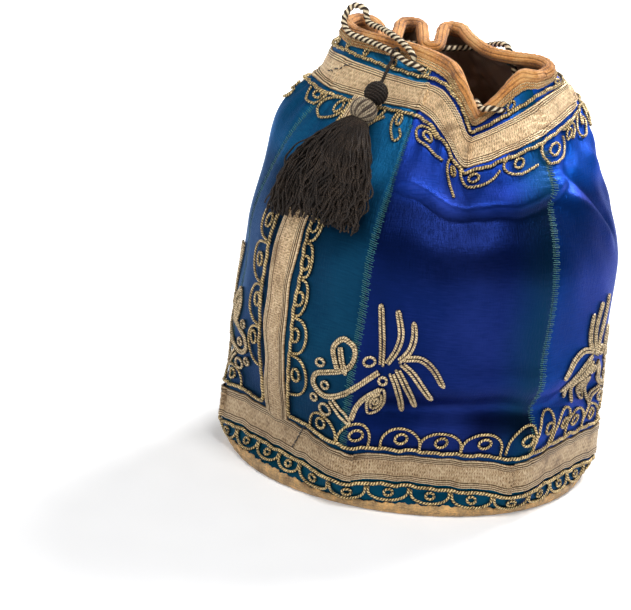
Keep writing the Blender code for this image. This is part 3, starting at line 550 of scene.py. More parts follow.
def satin(name, deep, middle, bright, shine, teal_from=None, shade_below_lit=0.50):
    finish, tree, shader = start_finish(name, 0.44)
    shader.inputs["Anisotropic"].default_value = 0.5
    shader.inputs["Sheen Weight"].default_value = 0.06
    shader.inputs["Sheen Roughness"].default_value = 0.4
    shader.inputs["Sheen Tint"].default_value = (*shine, 1)
    shader.inputs["Specular IOR Level"].default_value = 0.22
    shader.inputs["Metallic"].default_value = 0.62
    shader.inputs["Specular Tint"].default_value = (*shine, 1)
    coordinates = node(tree, "ShaderNodeTexCoord")
    in_space, on_cloth = coordinates.outputs["Object"], coordinates.outputs["UV"]
    drift = stretched_noise(tree, in_space, (1, 1, 0.6), 0.055, 3)
    slubs = stretched_noise(tree, on_cloth, (0.12, 1, 1), 0.0007, 3)
    tone = plus(tree, drift, times(tree, slubs, 0.28))
    colour = ramp(tree, minus(tree, tone, 0.14), ((0.30, deep), (0.50, middle), (0.70, bright)))
    height = part_of(tree, in_space, 2)
    drifting = plus(tree, height, times(tree, drift, 0.02))
    # Painted light above the shoulder and painted shade below it, as a factor on the colour
    painted_light_and_shade = times(tree, faded(tree, drifting, *LIT_HEIGHTS, shade_below_lit, LIT_FACTOR),
                faded(tree, height, *FOOT_HEIGHTS, FOOT_SHADE_FACTOR / shade_below_lit, 1.0))
    if teal_from is not None:
        around = part_of(tree, on_cloth, 0)
        shift = times(tree, minus(tree, drift, 0.5), 0.03)
        share = faded(tree, plus(tree, around, shift), *teal_from)
        colour = mixed(tree, share, colour, SEAM_TEAL)
        # Painted shade in the hollow under the front panel's roll
        off_hollow = calc(tree, "ABSOLUTE", minus(tree, height, HOLLOW_HEIGHT))
        hollow_shade = faded(tree, off_hollow, *HOLLOW_SHADE_REACH, 0.70, 0.0)
        side = faded(tree, around, *HOLLOW_SHADE_AROUND)
        painted_light_and_shade = times(tree, painted_light_and_shade, minus(tree, 1.0, times(tree, hollow_shade, side)))
    colour = scaled(tree, colour, painted_light_and_shade)
    hem = faded(tree, height, *HEM_HEIGHTS, 0.85, 0.0, smooth=False)
    colour = mixed(tree, hem, colour, HEM_TEAL)
    threads = stretched_noise(tree, on_cloth, (1, 0.05, 1), 0.00022, 1)
    wear = stretched_noise(tree, in_space, (1, 1, 1), 0.012, 4)
    rough = plus(tree, 0.30, times(tree, wear, 0.18))
    warp = stretched_noise(tree, on_cloth, (1, 0.16, 1), 0.0009, 2)
    bump = plus(tree, threads, plus(tree, times(tree, slubs, 0.6), times(tree, warp, 1.2)))
    give(tree, shader, colour, bump, 0.00010, rough)
    return finish


teal_satin = satin("teal_satin", (0.002, 0.032, 0.080), (0.004, 0.056, 0.132),
                   (0.010, 0.105, 0.215), (0.16, 0.50, 1.0))
royal_satin = satin("royal_satin", (0.003, 0.018, 0.115), (0.006, 0.024, 0.175),
                    (0.020, 0.046, 0.290), (0.16, 0.26, 1.0), teal_from=(0.034, 0.060), shade_below_lit=0.30)
violet_satin = satin("violet_satin", (0.003, 0.016, 0.125), (0.005, 0.019, 0.190),
                     (0.012, 0.032, 0.300), (0.20, 0.26, 1.0))
azure_satin = satin("azure_satin", (0.002, 0.034, 0.190), (0.004, 0.056, 0.320),
                    (0.010, 0.095, 0.500), (0.14, 0.32, 1.0))

# %% [markdown]
# ## The silk panels
#
# Six panels are sewn into a tube. Each is its own mesh from seam to seam, so each can have its own
# tone. They reach from the base binding to the rim, where the mouth's binding covers the edge.

# %% Six panels from seam to seam
PANEL_FINISHES = (("silk_left", teal_satin), ("silk_front", royal_satin),
                  ("silk_right", azure_satin), ("silk_front", violet_satin),
                  ("silk_right", azure_satin), ("silk_left", teal_satin))
PANEL_STEP = 1.0
PANEL_ROWS = 170
seams = list(SEAM_ANGLES) + [SEAM_ANGLES[0] + 360]
for number, (low, high) in enumerate(zip(seams, seams[1:])):
    angles = np.linspace(low, high, round((high - low) / PANEL_STEP) + 1)[:, None]
    share = np.linspace(0.006, 1, PANEL_ROWS)[None, :]
    total = cloth_length[column_of(angles), -1] / MM
    levels = level_up(angles + 0 * share, total * share)
    places, uv = cloth_grid(angles, levels, 0.0)
    slot, finish = PANEL_FINISHES[number]
    piece(f"satin_panel_{number + 1}", places, lattice(*places.shape[:2])[:, ::-1], finish, slot,
          uv, stands_for=(f"silk_panel_{number + 1}",))

# %% [markdown]
# ## Woven galon
#
# Galon is a flat gilt ribbon. Thick warp cords run along it as ridges, fine metal-wrapped weft
# crosses them, and three heavier ridges edge each side. The ridges are real geometry here,
# because they catch the light at any distance. The fine weft is a bump in the material, which
# also darkens three grooves along each edge and rows of small dashes between them.
#
# The lower and the upper band go right round the bag. Their edges aren't quite parallel, because
# the maker eased the ribbon over the fullness of the silk and folded small laps where it turned.

# %% The finish of the galon
GALON_WIDTH = 14.5
GALON_RIB_COUNT = 9
WEFT_PITCH = 0.00072
EDGING_PITCH = 0.00095
EDGING_WIDTH = 0.00285
ZIGZAG_REACH = 0.0032
FIGURE_REACH = 0.00055
FIGURE_FROM_EDGE = 0.0034
DASH_PITCH = 0.00115
DASH_ROW_PITCH = 0.00195
DASHES_FROM_EDGE = 0.0036
EDGE_GROOVES = (0.00110, 0.00205, 0.00300)
GROOVE_REACH = 0.00021
# Heights over which the gilt goes from darker at the bottom to lighter higher up
DARKER_TOWARDS_BOTTOM_HEIGHTS = (0.03, 0.16)


def gilt_ribbon(name, width):
    finish, tree, shader = start_finish(name, 0.42, 0.55)
    along, across = along_and_across(tree)
    coordinates = node(tree, "ShaderNodeTexCoord")
    weft = waves(tree, along, WEFT_PITCH)
    ribs_per_metre = 2 * math.pi * 2 * GALON_RIB_COUNT / (width * MM)
    ribs = calc(tree, "SINE", times(tree, across, ribs_per_metre))
    crossing = times(tree, weft, ribs)
    edge = calc(tree, "MINIMUM", across, minus(tree, width * MM, across))
    edging = times(tree, waves(tree, edge, EDGING_PITCH, "COSINE"),
                   calc(tree, "LESS_THAN", edge, EDGING_WIDTH))
    off_middle = calc(tree, "ABSOLUTE", minus(tree, across, width * MM / 2))
    zigzag = calc(tree, "PINGPONG", along, ZIGZAG_REACH)
    figure = calc(tree, "ABSOLUTE", minus(tree, off_middle, zigzag))
    figure = calc(tree, "LESS_THAN", figure, FIGURE_REACH)
    figure = times(tree, figure, calc(tree, "GREATER_THAN", edge, FIGURE_FROM_EDGE))
    fleck = stretched_noise(tree, coordinates.outputs["UV"], (1, 0.35, 1), 0.0006, 3)
    patches = stretched_noise(tree, coordinates.outputs["Object"], (1, 1, 1), 0.010, 4)
    light = plus(tree, times(tree, fleck, 0.80), times(tree, crossing, 0.12))
    light = plus(tree, light, times(tree, patches, 0.38))
    light = minus(tree, light, times(tree, edging, 0.16))
    light = plus(tree, light, times(tree, minus(tree, figure, 0.35), 0.07))
    dash = calc(tree, "GREATER_THAN", waves(tree, along, DASH_PITCH), 0.35)
    rows = calc(tree, "GREATER_THAN", waves(tree, edge, DASH_ROW_PITCH), -0.1)
    inside = calc(tree, "GREATER_THAN", edge, DASHES_FROM_EDGE)
    dash = times(tree, dash, times(tree, rows, inside))
    light = minus(tree, light, times(tree, dash, 0.15))
    for groove in EDGE_GROOVES:
        off_groove = calc(tree, "ABSOLUTE", minus(tree, edge, groove))
        in_groove = calc(tree, "LESS_THAN", off_groove, GROOVE_REACH)
        light = minus(tree, light, times(tree, in_groove, 0.40))
    gilt = ramp(tree, light, ((0.26, (0.10, 0.056, 0.024)), (0.40, (0.36, 0.225, 0.110)),
                              (0.54, (0.62, 0.42, 0.230)), (0.78, (0.95, 0.76, 0.50))))
    worn = ramp(tree, patches, ((0.30, (1, 1, 1)), (0.42, (0, 0, 0))))
    worn_factor = node(tree, "ShaderNodeSeparateColor", {0: worn}).outputs[0]
    colour = mixed(tree, times(tree, worn_factor, 0.65), gilt, (0.21, 0.125, 0.062))
    height = part_of(tree, coordinates.outputs["Object"], 2)
    # The gilt's colour is darker towards the bottom and lighter higher up
    darker_towards_bottom = faded(tree, height, *DARKER_TOWARDS_BOTTOM_HEIGHTS, 0.70, 1.25, smooth=False)
    colour = scaled(tree, colour, darker_towards_bottom)
    bump = plus(tree, times(tree, weft, 0.45), times(tree, crossing, 0.35))
    bump = plus(tree, bump, times(tree, fleck, 1.1))
    bump = plus(tree, bump, times(tree, figure, 1.2))
    rough = plus(tree, 0.36, times(tree, patches, 0.22))
    give(tree, shader, colour, bump, 0.00013, rough)
    return finish


galon_finish = gilt_ribbon("gilt_galon", GALON_WIDTH)

# %% The galon's cross-section: shares of the width, and heights in millimetres
GALON_THICKNESS = 0.8


def galon_section(count=45):
    shares = np.linspace(0, 1, count)
    edge = np.minimum(shares, 1 - shares) * GALON_WIDTH
    ridge = np.abs(np.sin(np.pi * shares * GALON_RIB_COUNT)) * 0.16
    edging = np.abs(np.sin(np.pi * edge / 0.95)) * 0.30
    height = GALON_THICKNESS + np.where(edge < 2.85, edging, ridge - 0.05)
    height = np.where(edge < 0.02, 0.15, height)
    return shares, height


SECTION_SHARES, SECTION_HEIGHTS = galon_section()


def galon(name, angles, low_up, high_up, lift, stands_for):
    """A band over a run of fabric angles, between two edges measured up the cloth."""
    ups = low_up[:, None] + (high_up - low_up)[:, None] * SECTION_SHARES
    out = SECTION_HEIGHTS[None, :] + lift[:, None]
    places, _ = sewn(angles[:, None], level_up(angles[:, None] + 0 * ups, ups), out)
    along = np.radians(angles) * BODY_RADIUS
    uv = np.stack([along[:, None] + 0 * ups, SECTION_SHARES * GALON_WIDTH * MM + 0 * ups], -1)
    return piece(name, places, lattice(*places.shape[:2]), galon_finish, "braid", uv,
                 stands_for=(stands_for,))


# %% Laps, where a band folds over itself
def laps(angles, folds):
    total = np.zeros_like(angles)
    for start, length, height in folds:
        away = (angles - start + 180) % 360 - 180
        total += height * ease(away / length) * (away < length) * (away > 0)
        total -= 0.3 * swell(away, length + 0.8, 0.7)
    return total


ROUND = np.arange(-151.5, 208.75, 0.25)
COARSE_ROUND = np.arange(-151.5, 208.75, 0.5)

# %% The lower band
LOWER_EDGES = ((-100, 13.5, 28), (-77, 14.5, 28.5), (-62, 15, 29.5), (-50, 15.8, 30),
               (-38, 15.5, 29.5), (-28, 15.2, 28), (-18, 15.5, 27.5), (-5, 15.5, 27.2),
               (8, 15.0, 27.2), (17, 14, 26.8), (30, 13.6, 26.5), (40, 14.2, 28), (60, 14, 28.2),
               (87, 13.5, 27.5), (105, 14.5, 28.5), (128, 13.5, 28), (150, 14.2, 28.4),
               (180, 13.5, 27.5), (215, 14.5, 28.5), (240, 13.4, 28), (260, 13.5, 28))
LOWER_LAPS = ((-20.5, 6, 1.3), (29, 5, 1.2), (84, 5, 1.0), (146, 6, 1.2), (210, 6, 1.0),
              (-84, 6, 1.1))


def lower_edges(angles):
    wrapped = (angles + 100) % 360 - 100
    at, lows, highs = zip(*LOWER_EDGES)
    low = np.interp(wrapped, at, lows)
    high = np.interp(wrapped, at, highs)
    ripple = 0.25 * np.sin(np.radians(angles) * 31) + 0.15 * np.sin(np.radians(angles) * 53)
    return low + ripple, high + ripple


low_up, high_up = lower_edges(ROUND)
puckers = 0.12 * np.sin(np.radians(ROUND) * 47) * swell(((ROUND + 17 + 180) % 360) - 180, 0, 25)
galon("galon_lower", ROUND, low_up, high_up, laps(ROUND, LOWER_LAPS) + puckers, "lower_braid")

# %% The upper band, which follows the rim's fold
LEVEL_OF_GALON = int(np.argmin(abs(LEVELS - 2)))
UPPER_SHAPE = ((-120, 0.5, 14.5), (-80, 0.5, 15.5), (-45, 0.5, 14.5), (-25, 2.6, 13),
               (-15, 3.4, 13), (0, 2.2, 15.5), (12, 1.0, 15.5), (30, 0.3, 14.5), (240, 0.5, 14.5))
UPPER_LAPS = ((-21, 6, 1.0), (9, 5, 1.0), (56, 5, 1.1), (122, 6, 1.0), (178, 6, 1.0), (222, 6, 1.0))


def whole_cloth(angles):
    return cloth_length[column_of(angles), -1] / MM


def between_columns(values, angles):
    """A value of each column of the table, made smooth between the columns."""
    columns = (angles - ANGLES[0]) / COLUMN_STEP
    whole = np.floor(columns).astype(int)
    share = columns - whole
    return values[whole % len(ANGLES)] * (1 - share) + values[(whole + 1) % len(ANGLES)] * share


def upper_edges(angles):
    """The upper band's low and high edge, measured down from the rim."""
    strip = (cloth_length[:, -1] - cloth_length[:, LEVEL_OF_GALON]) / MM
    wrapped = (angles + 120) % 360 - 120
    at, shifts, widths = zip(*UPPER_SHAPE)
    low = between_columns(strip, angles) - np.interp(wrapped, at, shifts)
    return low, low - np.interp(wrapped, at, widths)


def exact_up(angles, down):
    """A distance down from the rim as a distance up from the floor, smooth between columns."""
    return between_columns(cloth_length[:, -1] / MM, angles) - down


low_down, high_down = upper_edges(ROUND)
galon("galon_upper", ROUND, exact_up(ROUND, low_down), exact_up(ROUND, high_down),
      laps(ROUND, UPPER_LAPS), "upper_braid")

# %% [markdown]
# ## The upright bands
#
# Left of the front a third length of galon climbs from the lower band to the upper one, and a
# second one mirrors it at the back. It was laid over the gathers, so its edges wander and
# its middle bellies. Rows of the grid now run up the cloth, and columns run across it.

# %% Galon that climbs
CLIMB = np.linspace(0, 1, 210)
FRONT_UPRIGHT_ANGLE = -48.5
BACK_UPRIGHT_ANGLE = 128
UPRIGHT_START = 27.3


def upright(name, middle, wander, stands_for):
    end = exact_up(np.array([middle]), upper_edges(np.array([middle]))[0])[0] + 0.8
    ups = UPRIGHT_START + (end - UPRIGHT_START) * CLIMB
    shift = 0.55 * np.sin(ups * 0.115 + wander) + 0.35 * np.sin(ups * 0.24 + 2 * wander)
    half = 7.25 + 0.45 * np.sin(ups * 0.19 + wander)
    level = level_up(np.full_like(ups, middle), ups)
    across, _ = sewn(np.array([middle - 4.0, middle + 4.0])[None, :], level[:, None], 0)
    per_degree = np.linalg.norm(across[:, 1] - across[:, 0], axis=1) / 8 / MM
    aside = 2 * SECTION_SHARES - 1
    angles = middle + (shift[:, None] + half[:, None] * aside) / per_degree[:, None]
    belly = 0.5 * (1 - aside ** 2) * (1 + 0.4 * np.sin(ups * 0.3))[:, None]
    ends = 0.9 * (swell(CLIMB, 0, 0.012) + swell(CLIMB, 1, 0.012))
    out = SECTION_HEIGHTS[None, :] + 0.15 + belly - ends[:, None]
    places, _ = sewn(angles, level_up(angles, ups[:, None] + 0 * angles), out)
    uv = np.stack([ups[:, None] * MM + 0 * out, SECTION_SHARES * GALON_WIDTH * MM + 0 * out], -1)
    return piece(name, places, lattice(*places.shape[:2])[:, ::-1], galon_finish, "braid", uv,
                 stands_for=(stands_for,))


upright("galon_upright_front", FRONT_UPRIGHT_ANGLE, 0.4, "side_braid_front")
upright("galon_upright_back", BACK_UPRIGHT_ANGLE, 2.1, "side_braid_back")

# %% [markdown]
# ## Cord, thread and strand
#
# A cord is two or more plies twisted round each other. The builder below runs a ring of eight
# vertices along a path. The ring swells twice on its way round and turns as it goes, which is
# just what a two-ply twist looks like. Its texture coordinates run along and around, so the
# material can shade the groove between the plies and lay a couching stitch across the cord.
# `DEGREE` is the length of one degree of fabric angle, in millimetres.

# %% Smooth lines through points
def smooth_line(points, step, closed=False):
    """A Catmull-Rom line, sampled evenly."""
    given = np.array(points, float)
    if closed:
        given = np.concatenate([given[-1:], given, given[:2]])
    else:
        given = np.concatenate([[2 * given[0] - given[1]], given, [2 * given[-1] - given[-2]]])
    s = np.linspace(0, 1, 25)[:-1, None]
    runs = [hermite(b, (c - a) / 2, c, (d - b) / 2, s) for a, b, c, d in
            zip(given, given[1:], given[2:], given[3:])]
    dense = np.concatenate(runs + [given[-2:-1]])
    lengths = np.concatenate([[0], np.linalg.norm(np.diff(dense, axis=0), axis=1).cumsum()])
    count = max(3, int(round(lengths[-1] / step)) + 1)
    even = np.linspace(0, lengths[-1], count)
    return np.stack([np.interp(even, lengths, dense[:, k]) for k in range(dense.shape[1])], -1)


# %% Rings of vertices along a path
PLIES = 2
BORDER_PITCH = 0.0026
DEGREE = math.radians(1) * BODY_RADIUS / MM
ONCE_AROUND = 0.01


def twist(path, outward, radius, pitch, sides=8, ply=0.20, closed=False):
    """Places, faces and coordinates of a twisted cord that follows a path."""
    if closed:
        ahead, behind = np.roll(path[:-1], -1, 0), np.roll(path[:-1], 1, 0)
        tangent = np.concatenate([ahead - behind, (ahead - behind)[:1]])
    else:
        tangent = np.gradient(path, axis=0)
    tangent = tangent / np.linalg.norm(tangent, axis=1)[:, None]
    side = np.cross(tangent, outward)
    side = side / np.linalg.norm(side, axis=1)[:, None]
    up = np.cross(side, tangent)
    run = np.concatenate([[0], np.linalg.norm(np.diff(path, axis=0), axis=1).cumsum()])
    turn = -np.pi / 2 + 2 * np.pi * np.arange(sides + 1) / sides
    phase = PLIES * (turn[None, :] - 2 * np.pi * run[:, None] / pitch)
    reach = radius * (1 - ply / 2 + ply / 2 * np.cos(phase))
    places = path[:, None] + reach[..., None] * (side[:, None] * np.cos(turn)[None, :, None]
                                                 + up[:, None] * np.sin(turn)[None, :, None])
    around = (turn[None, :] + np.pi / 2) / (2 * np.pi) + 0 * run[:, None]
    uv = np.stack([run[:, None] + 0 * around, around * ONCE_AROUND], -1)
    return places, lattice(len(path), sides + 1), uv


def gather_cords(name, cords, finish, slot, **settings):
    """Many cords as one piece."""
    places, faces, uvs, count = [], [], [], 0
    for points, quads, uv in cords:
        places.append(points.reshape(-1, 3))
        faces.append(quads + count)
        uvs.append(uv.reshape(-1, 2))
        count += len(places[-1])
    return piece(name, np.concatenate(places), np.concatenate(faces), finish, slot,
                 np.concatenate(uvs), **settings)


def laid_cord(points, radius, step, lift=0.25, from_rim=False, closed=False, pitch=BORDER_PITCH):
    """A cord couched on the silk along points of fabric angle and millimetres of height."""
    flat = np.array(points, float)[:, :2] * (DEGREE, 1)
    line = smooth_line(flat, step, closed)
    angles = line[:, 0] / DEGREE
    ups = exact_up(angles, line[:, 1]) if from_rim else line[:, 1]
    path, outward = sewn(angles, level_up(angles, ups), radius + lift)
    return twist(path, outward, radius * MM, pitch, closed=closed)


# %% The finish of a couched gilt cord
def plied_finish(name, pitch, dark, middle, light, metallic, roughness, couching=None,
                 ply_colour_and_groove_shade=0.30, darker=0.0):
    finish, tree, shader = start_finish(name, roughness, metallic)
    shader.inputs["Specular IOR Level"].default_value = 0.35
    along, around = along_and_across(tree)
    phase = minus(tree, times(tree, around, PLIES / ONCE_AROUND), times(tree, along, PLIES / pitch))
    wave = times(tree, plus(tree, waves(tree, phase, 1.0, "COSINE"), 1.0), 0.5)
    coordinates = node(tree, "ShaderNodeTexCoord")
    fleck = stretched_noise(tree, coordinates.outputs["Object"], (1, 1, 1), 0.0009, 3)
    broad = stretched_noise(tree, coordinates.outputs["Object"], (1, 1, 1), 0.009, 3)
    # The twist's wave paints shade into the groove between the plies and light on their crests. On
    # the drawstring its dark stripes are also the brown ply's own colour.
    tone = plus(tree, times(tree, wave, ply_colour_and_groove_shade), times(tree, fleck, 0.75))
    tone = plus(tree, tone, times(tree, minus(tree, broad, 0.5), 0.5))
    colour = ramp(tree, minus(tree, tone, darker), ((0.28, dark), (0.52, middle), (0.78, light)))
    if couching:
        place = calc(tree, "FRACT", calc(tree, "DIVIDE", along, couching))
        stitch = calc(tree, "LESS_THAN", place, 0.13)
        colour = mixed(tree, times(tree, stitch, 0.6), colour, (0.045, 0.040, 0.032))
    height = plus(tree, times(tree, fleck, 0.8), wave)
    rough = plus(tree, roughness - 0.08, times(tree, fleck, 0.16))
    give(tree, shader, colour, height, 0.00016, rough)
    return finish


border_finish = plied_finish("gilt_cord", BORDER_PITCH, (0.075, 0.045, 0.015),
                             (0.46, 0.31, 0.115), (0.96, 0.74, 0.38), 0.30, 0.45,
                             couching=0.0042, ply_colour_and_groove_shade=0.5, darker=0.10)

# %% [markdown]
# ## Couched borders
#
# Along both edges of every band runs a gilt cord, couched: laid on the silk and caught down with
# fine stitches. Dark slits of blue show between the cord and the band.

# %% Borders along the two round bands
BORDER_RADIUS = 0.85
BORDER_STEP = 0.7


def tremble(x, amount):
    """The small unevenness of a hand-laid line."""
    return amount * (np.sin(x * 0.83) + 0.6 * np.sin(x * 1.91 + 1.3) + 0.4 * np.sin(x * 0.31 + 0.5))


def round_border(name, ups, stands_for):
    path, outward = sewn(ROUND, level_up(ROUND, ups), BORDER_RADIUS + 0.25)
    cord = twist(path, outward, BORDER_RADIUS * MM, BORDER_PITCH, closed=True)
    piece(name, *cord[:2], border_finish, "border_cord", cord[2], stands_for=stands_for)


round_border("border_under_lower_galon", lower_edges(ROUND)[0] - 1.7 + tremble(ROUND, 0.15),
             ("lower_border_cord",))
round_border("border_over_upper_galon",
             exact_up(ROUND, upper_edges(ROUND)[1] - 2.6) + tremble(ROUND, 0.2),
             ("upper_border_cord",))

# %% Borders round the two fields of silk
LEFT_LINE = ((26, -55.0), (45, -55.6), (58, -56.4), (70, -55.8), (85, -56.8), (100, -56.2),
             (120, -56.6), (185, -56))
RIGHT_LINE = ((26, -42.6), (45, -41.5), (58, -40.6), (70, -39.6), (85, -40.6), (100, -40.2),
              (120, -41.0), (185, -41))


def field_border(name, left_line, right_line, stands_for):
    """Along the lower band, up one upright, back under the upper band, and down the other."""
    start, end = left_line(30.5), right_line(30.5)
    along = np.arange(start + 1, end - 1, 0.5)
    bottom = np.stack([along, lower_edges(along)[1] + 2.6 + tremble(along, 0.2)], -1)
    top_up = exact_up(along, upper_edges(along)[0] + 2.6) + tremble(along, 0.2)
    top = np.stack([along, top_up], -1)[::-1]
    rise_right = np.arange(bottom[-1, 1] + 3, top[0, 1] - 3, 1.5)
    rise_left = np.arange(bottom[0, 1] + 3, top[-1, 1] - 3, 1.5)[::-1]
    right = np.stack([[right_line(u) for u in rise_right], rise_right], -1)
    left = np.stack([[left_line(u) for u in rise_left], rise_left], -1)
    loop = np.concatenate([bottom, right, top, left])
    cord = laid_cord(loop, BORDER_RADIUS, BORDER_STEP, closed=True)
    piece(name, *cord[:2], border_finish, "border_cord", cord[2], stands_for=stands_for)


def upright_line(rows):
    return lambda up: float(np.interp(up, *zip(*rows)) + 0.15 * math.sin(up * 0.9))


def mirrored_line(rows):
    """A line beside the front upright, carried over to the back one."""
    return lambda up: BACK_UPRIGHT_ANGLE - (float(np.interp(up, *zip(*rows))) - FRONT_UPRIGHT_ANGLE)


front_left, front_right = upright_line(LEFT_LINE), upright_line(RIGHT_LINE)
field_border("border_of_right_field", front_right, mirrored_line(RIGHT_LINE),
             ("frame_cord_right",))
field_border("border_of_left_field", mirrored_line(LEFT_LINE), lambda up: front_left(up) + 360,
             ("frame_cord_left",))

# %% [markdown]
# ## Scallops and rings
#
# Beside the borders the maker looped a thinner cord into scallops, each with a small ring inside.
# No two are alike, so their places are a list and not a pattern. Angles are degrees from the
# front, and heights are millimetres up the cloth, or down from the rim for the upper ones.

# %% Arcs and rings of cord
ARC_RADIUS = 0.64
SMALL_PITCH = 0.0022
COUCHED_STEP = 0.6
ARC_POINTS = 9
RING_POINTS = 8


def arc(start, end, base, peak, lean=0.0):
    """One scallop from cusp to cusp."""
    t = np.linspace(0, np.pi, ARC_POINTS)
    angles = (start + end) / 2 - (end - start) / 2 * np.cos(t) * (1 + 0.12 * np.sin(t))
    angles = angles + lean * np.sin(t)
    return np.stack([angles, base + (peak - base) * np.sin(t) ** 0.8], -1)


def ring(angle, height, wide, tall, tilt=0.0):
    """A small closed ring, its sizes in millimetres."""
    t = 2 * np.pi * np.arange(RING_POINTS) / RING_POINTS
    x, y = wide / 2 * np.cos(t), tall / 2 * np.sin(t)
    c, s = math.cos(math.radians(tilt)), math.sin(math.radians(tilt))
    return np.stack([angle + (x * c - y * s) / DEGREE, height + x * s + y * c], -1)


def couched(name, lines, radius=ARC_RADIUS, lift=0.2, from_rim=False, finish=border_finish):
    cords = [laid_cord(points, radius, COUCHED_STEP, lift, from_rim, closed, SMALL_PITCH)
             for points, closed in lines]
    return gather_cords(name, cords, finish, "border_cord")


# %% Scallops over and under the lower band
ARCS_OVER = ((-31, -20, 39.5, -1), (-20, -11, 40.5, 1), (-7.5, 4.5, 39.5, 0), (4.5, 17.5, 39, 0),
             (17.5, 29.5, 39.5, 1), (31, 40, 44, 2), (40, 48, 47, 3), (50, 59, 45.5, 2),
             (59, 71, 42, 0), (71, 83, 40, 0), (83, 95, 41, 0), (95, 107, 39.5, 0),
             (107, 119, 40, 0), (137, 149, 40, 0), (149, 161, 41, 0), (161, 173, 39.5, 0),
             (173, 186, 40.5, 0), (186, 198, 40, 0), (198, 208, 39.5, 0), (-152, -141, 40, 0),
             (-141, -129, 40, 0), (-129, -117, 39.5, 0), (-117, -105, 40.5, 0), (-105, -93, 40, 0),
             (-93, -81, 40, 0), (-81, -69, 40.5, 0))
CUSPS_UNDER = (-93, -81, -69, -57, -45, -34, -21, -10, 3, 16, 29, 41, 53, 65, 77, 89, 101, 113, 125,
               137, 149, 161, 173, 185, 197, 209, 221, 233, 245, 257, 267)
over = []
for start, end, peak, lean in ARCS_OVER:
    base = lower_edges(np.array([(start + end) / 2]))[1][0] + 3.2
    over.append((arc(start, end, base, peak, lean), False))
    over.append((ring((start + end) / 2 + lean, (base + peak) / 2 + 0.2, 5.6, 4.4, 20), True))
couched("scallops_over_lower_galon", over)

under = []
for start, end in zip(CUSPS_UNDER, CUSPS_UNDER[1:]):
    base = lower_edges(np.array([(start + end) / 2]))[0][0] - 2.6
    under.append((arc(start + 0.4, end - 0.4, base, base - 5.9), False))
    under.append((ring((start + end) / 2, base - 2.6, 4.0, 2.9), True))
couched("scallops_under_lower_galon", under)

# %% Scallops beside the upright bands
RIGHT_BESIDE = ((43, 62, -33.4, -38, 53), (63, 79, -34.2, -38.5, 71.5),
                (80, 96, -36.4, -39.3, 87.5), (97, 112, -36.8, -39.2, 103.5),
                (113, 129, -36.5, -39.4, 120), (130, 147, -36.5, -39.4, 138))
LEFT_BESIDE = ((49, 67, -63.0, -60.0, 61), (68, 86, -63.5, -59.0, 79), (87, 105, -65, -60.5, 96.5),
               (106, 123, -64.5, -60.3, 114), (124, 141, -64, -60.3, 132),
               (142, 158, -63.5, -60, 149))


def beside(line_at, rows, turn=lambda a: a):
    lines = []
    for low, high, reach, ring_angle, ring_up in rows:
        t = np.linspace(0, np.pi, ARC_POINTS)
        ups = (low + high) / 2 - (high - low) / 2 * np.cos(t)
        near = np.array([line_at(u) for u in ups])
        sign = 1 if reach > near.mean() else -1
        near = near + sign * 0.9
        angles = near + (reach - near) * np.sin(t) ** 0.8
        lines.append((np.stack([turn(angles), ups], -1), False))
        lines.append((ring(float(turn(ring_angle)), ring_up, 4.6, 6.0), True))
    return lines


couched("scallops_beside_front_upright",
        beside(front_right, RIGHT_BESIDE) + beside(front_left, LEFT_BESIDE))
mirror = lambda a: BACK_UPRIGHT_ANGLE + FRONT_UPRIGHT_ANGLE - a
couched("scallops_beside_back_upright",
        beside(front_right, RIGHT_BESIDE, mirror) + beside(front_left, LEFT_BESIDE, mirror))

# %% Loops in the strip of silk over the upper band
LOOP_ANGLES = (-84, -65, -43, -20, -3, 30, 57, 78, 100, 122, 145, 169, 193, 215, 237, 259)
loops = []
for angle in LOOP_ANGLES:
    high = upper_edges(np.array([float(angle)]))[1][0]
    loops.append((ring(angle, high - 5.5, 4.4, 3.4, 15 * math.sin(angle)), True))
couched("loops_over_upper_galon", loops, 0.6, from_rim=True)

# %% [markdown]
# ## Scrolls under the upper band
#
# Below the upper band hang larger scrolls: a loose S of cord with a ring in its bend. Where the
# tassel hangs they run under it.

# %% Scrolls, measured down from the rim
SCROLLS = (((-3, 30.5), (-7.5, 31), (-12.5, 32), (-14.8, 35), (-13.2, 38), (-9, 39.2), (-4, 38.8),
            (0.5, 37.5)),
           ((3.4, 32), (2.6, 36), (2.8, 40), (4.2, 44.5), (6.2, 49)),
           ((9.8, 31.5), (10.4, 35.5), (13, 39), (17.5, 40.5), (21.5, 39), (24, 36.5)),
           ((27, 31), (25.2, 35), (26.5, 39.5), (30.5, 42), (35.5, 41.5)),
           ((41, 29.5), (38, 33), (38, 38), (41, 42), (46, 41.5), (48.5, 37.5), (47.5, 33)),
           ((48, 30), (51, 32.5), (54.5, 33), (56, 36.5), (54, 40)),
           ((-27, 31), (-29, 36), (-27.5, 41), (-24, 45), (-21.5, 42), (-23.5, 39)),
           ((-35, 32), (-36.5, 36), (-39.5, 40), (-42, 45), (-40, 41.5), (-37, 38.5), (-34, 36)),
           ((-55, 31), (-57, 37), (-62, 42), (-68, 43), (-72, 39), (-71, 34), (-66, 31)),
           ((-72, 31), (-75, 36), (-80, 38), (-85, 36), (-87, 32)))
RINGS_IN_SCROLLS = ((-7.6, 34.6, 6.0, 3.6), (6.2, 35, 3.6, 5), (16, 35.5, 4.6, 4.0),
                    (30, 36.5, 4.8, 4.4), (43, 36, 5, 5.4), (52.5, 36.2, 3.8, 4.2),
                    (-25.5, 35, 4, 5), (-61.5, 36, 6, 6), (-79, 33.2, 4.2, 3.4))
scrolls = [(points, False) for points in SCROLLS]
scrolls += [(ring(*place), True) for place in RINGS_IN_SCROLLS]
LEAN_S = ((0, 2), (-2.5, 7), (-1, 12), (3, 14), (7, 11.5), (6, 7.5))
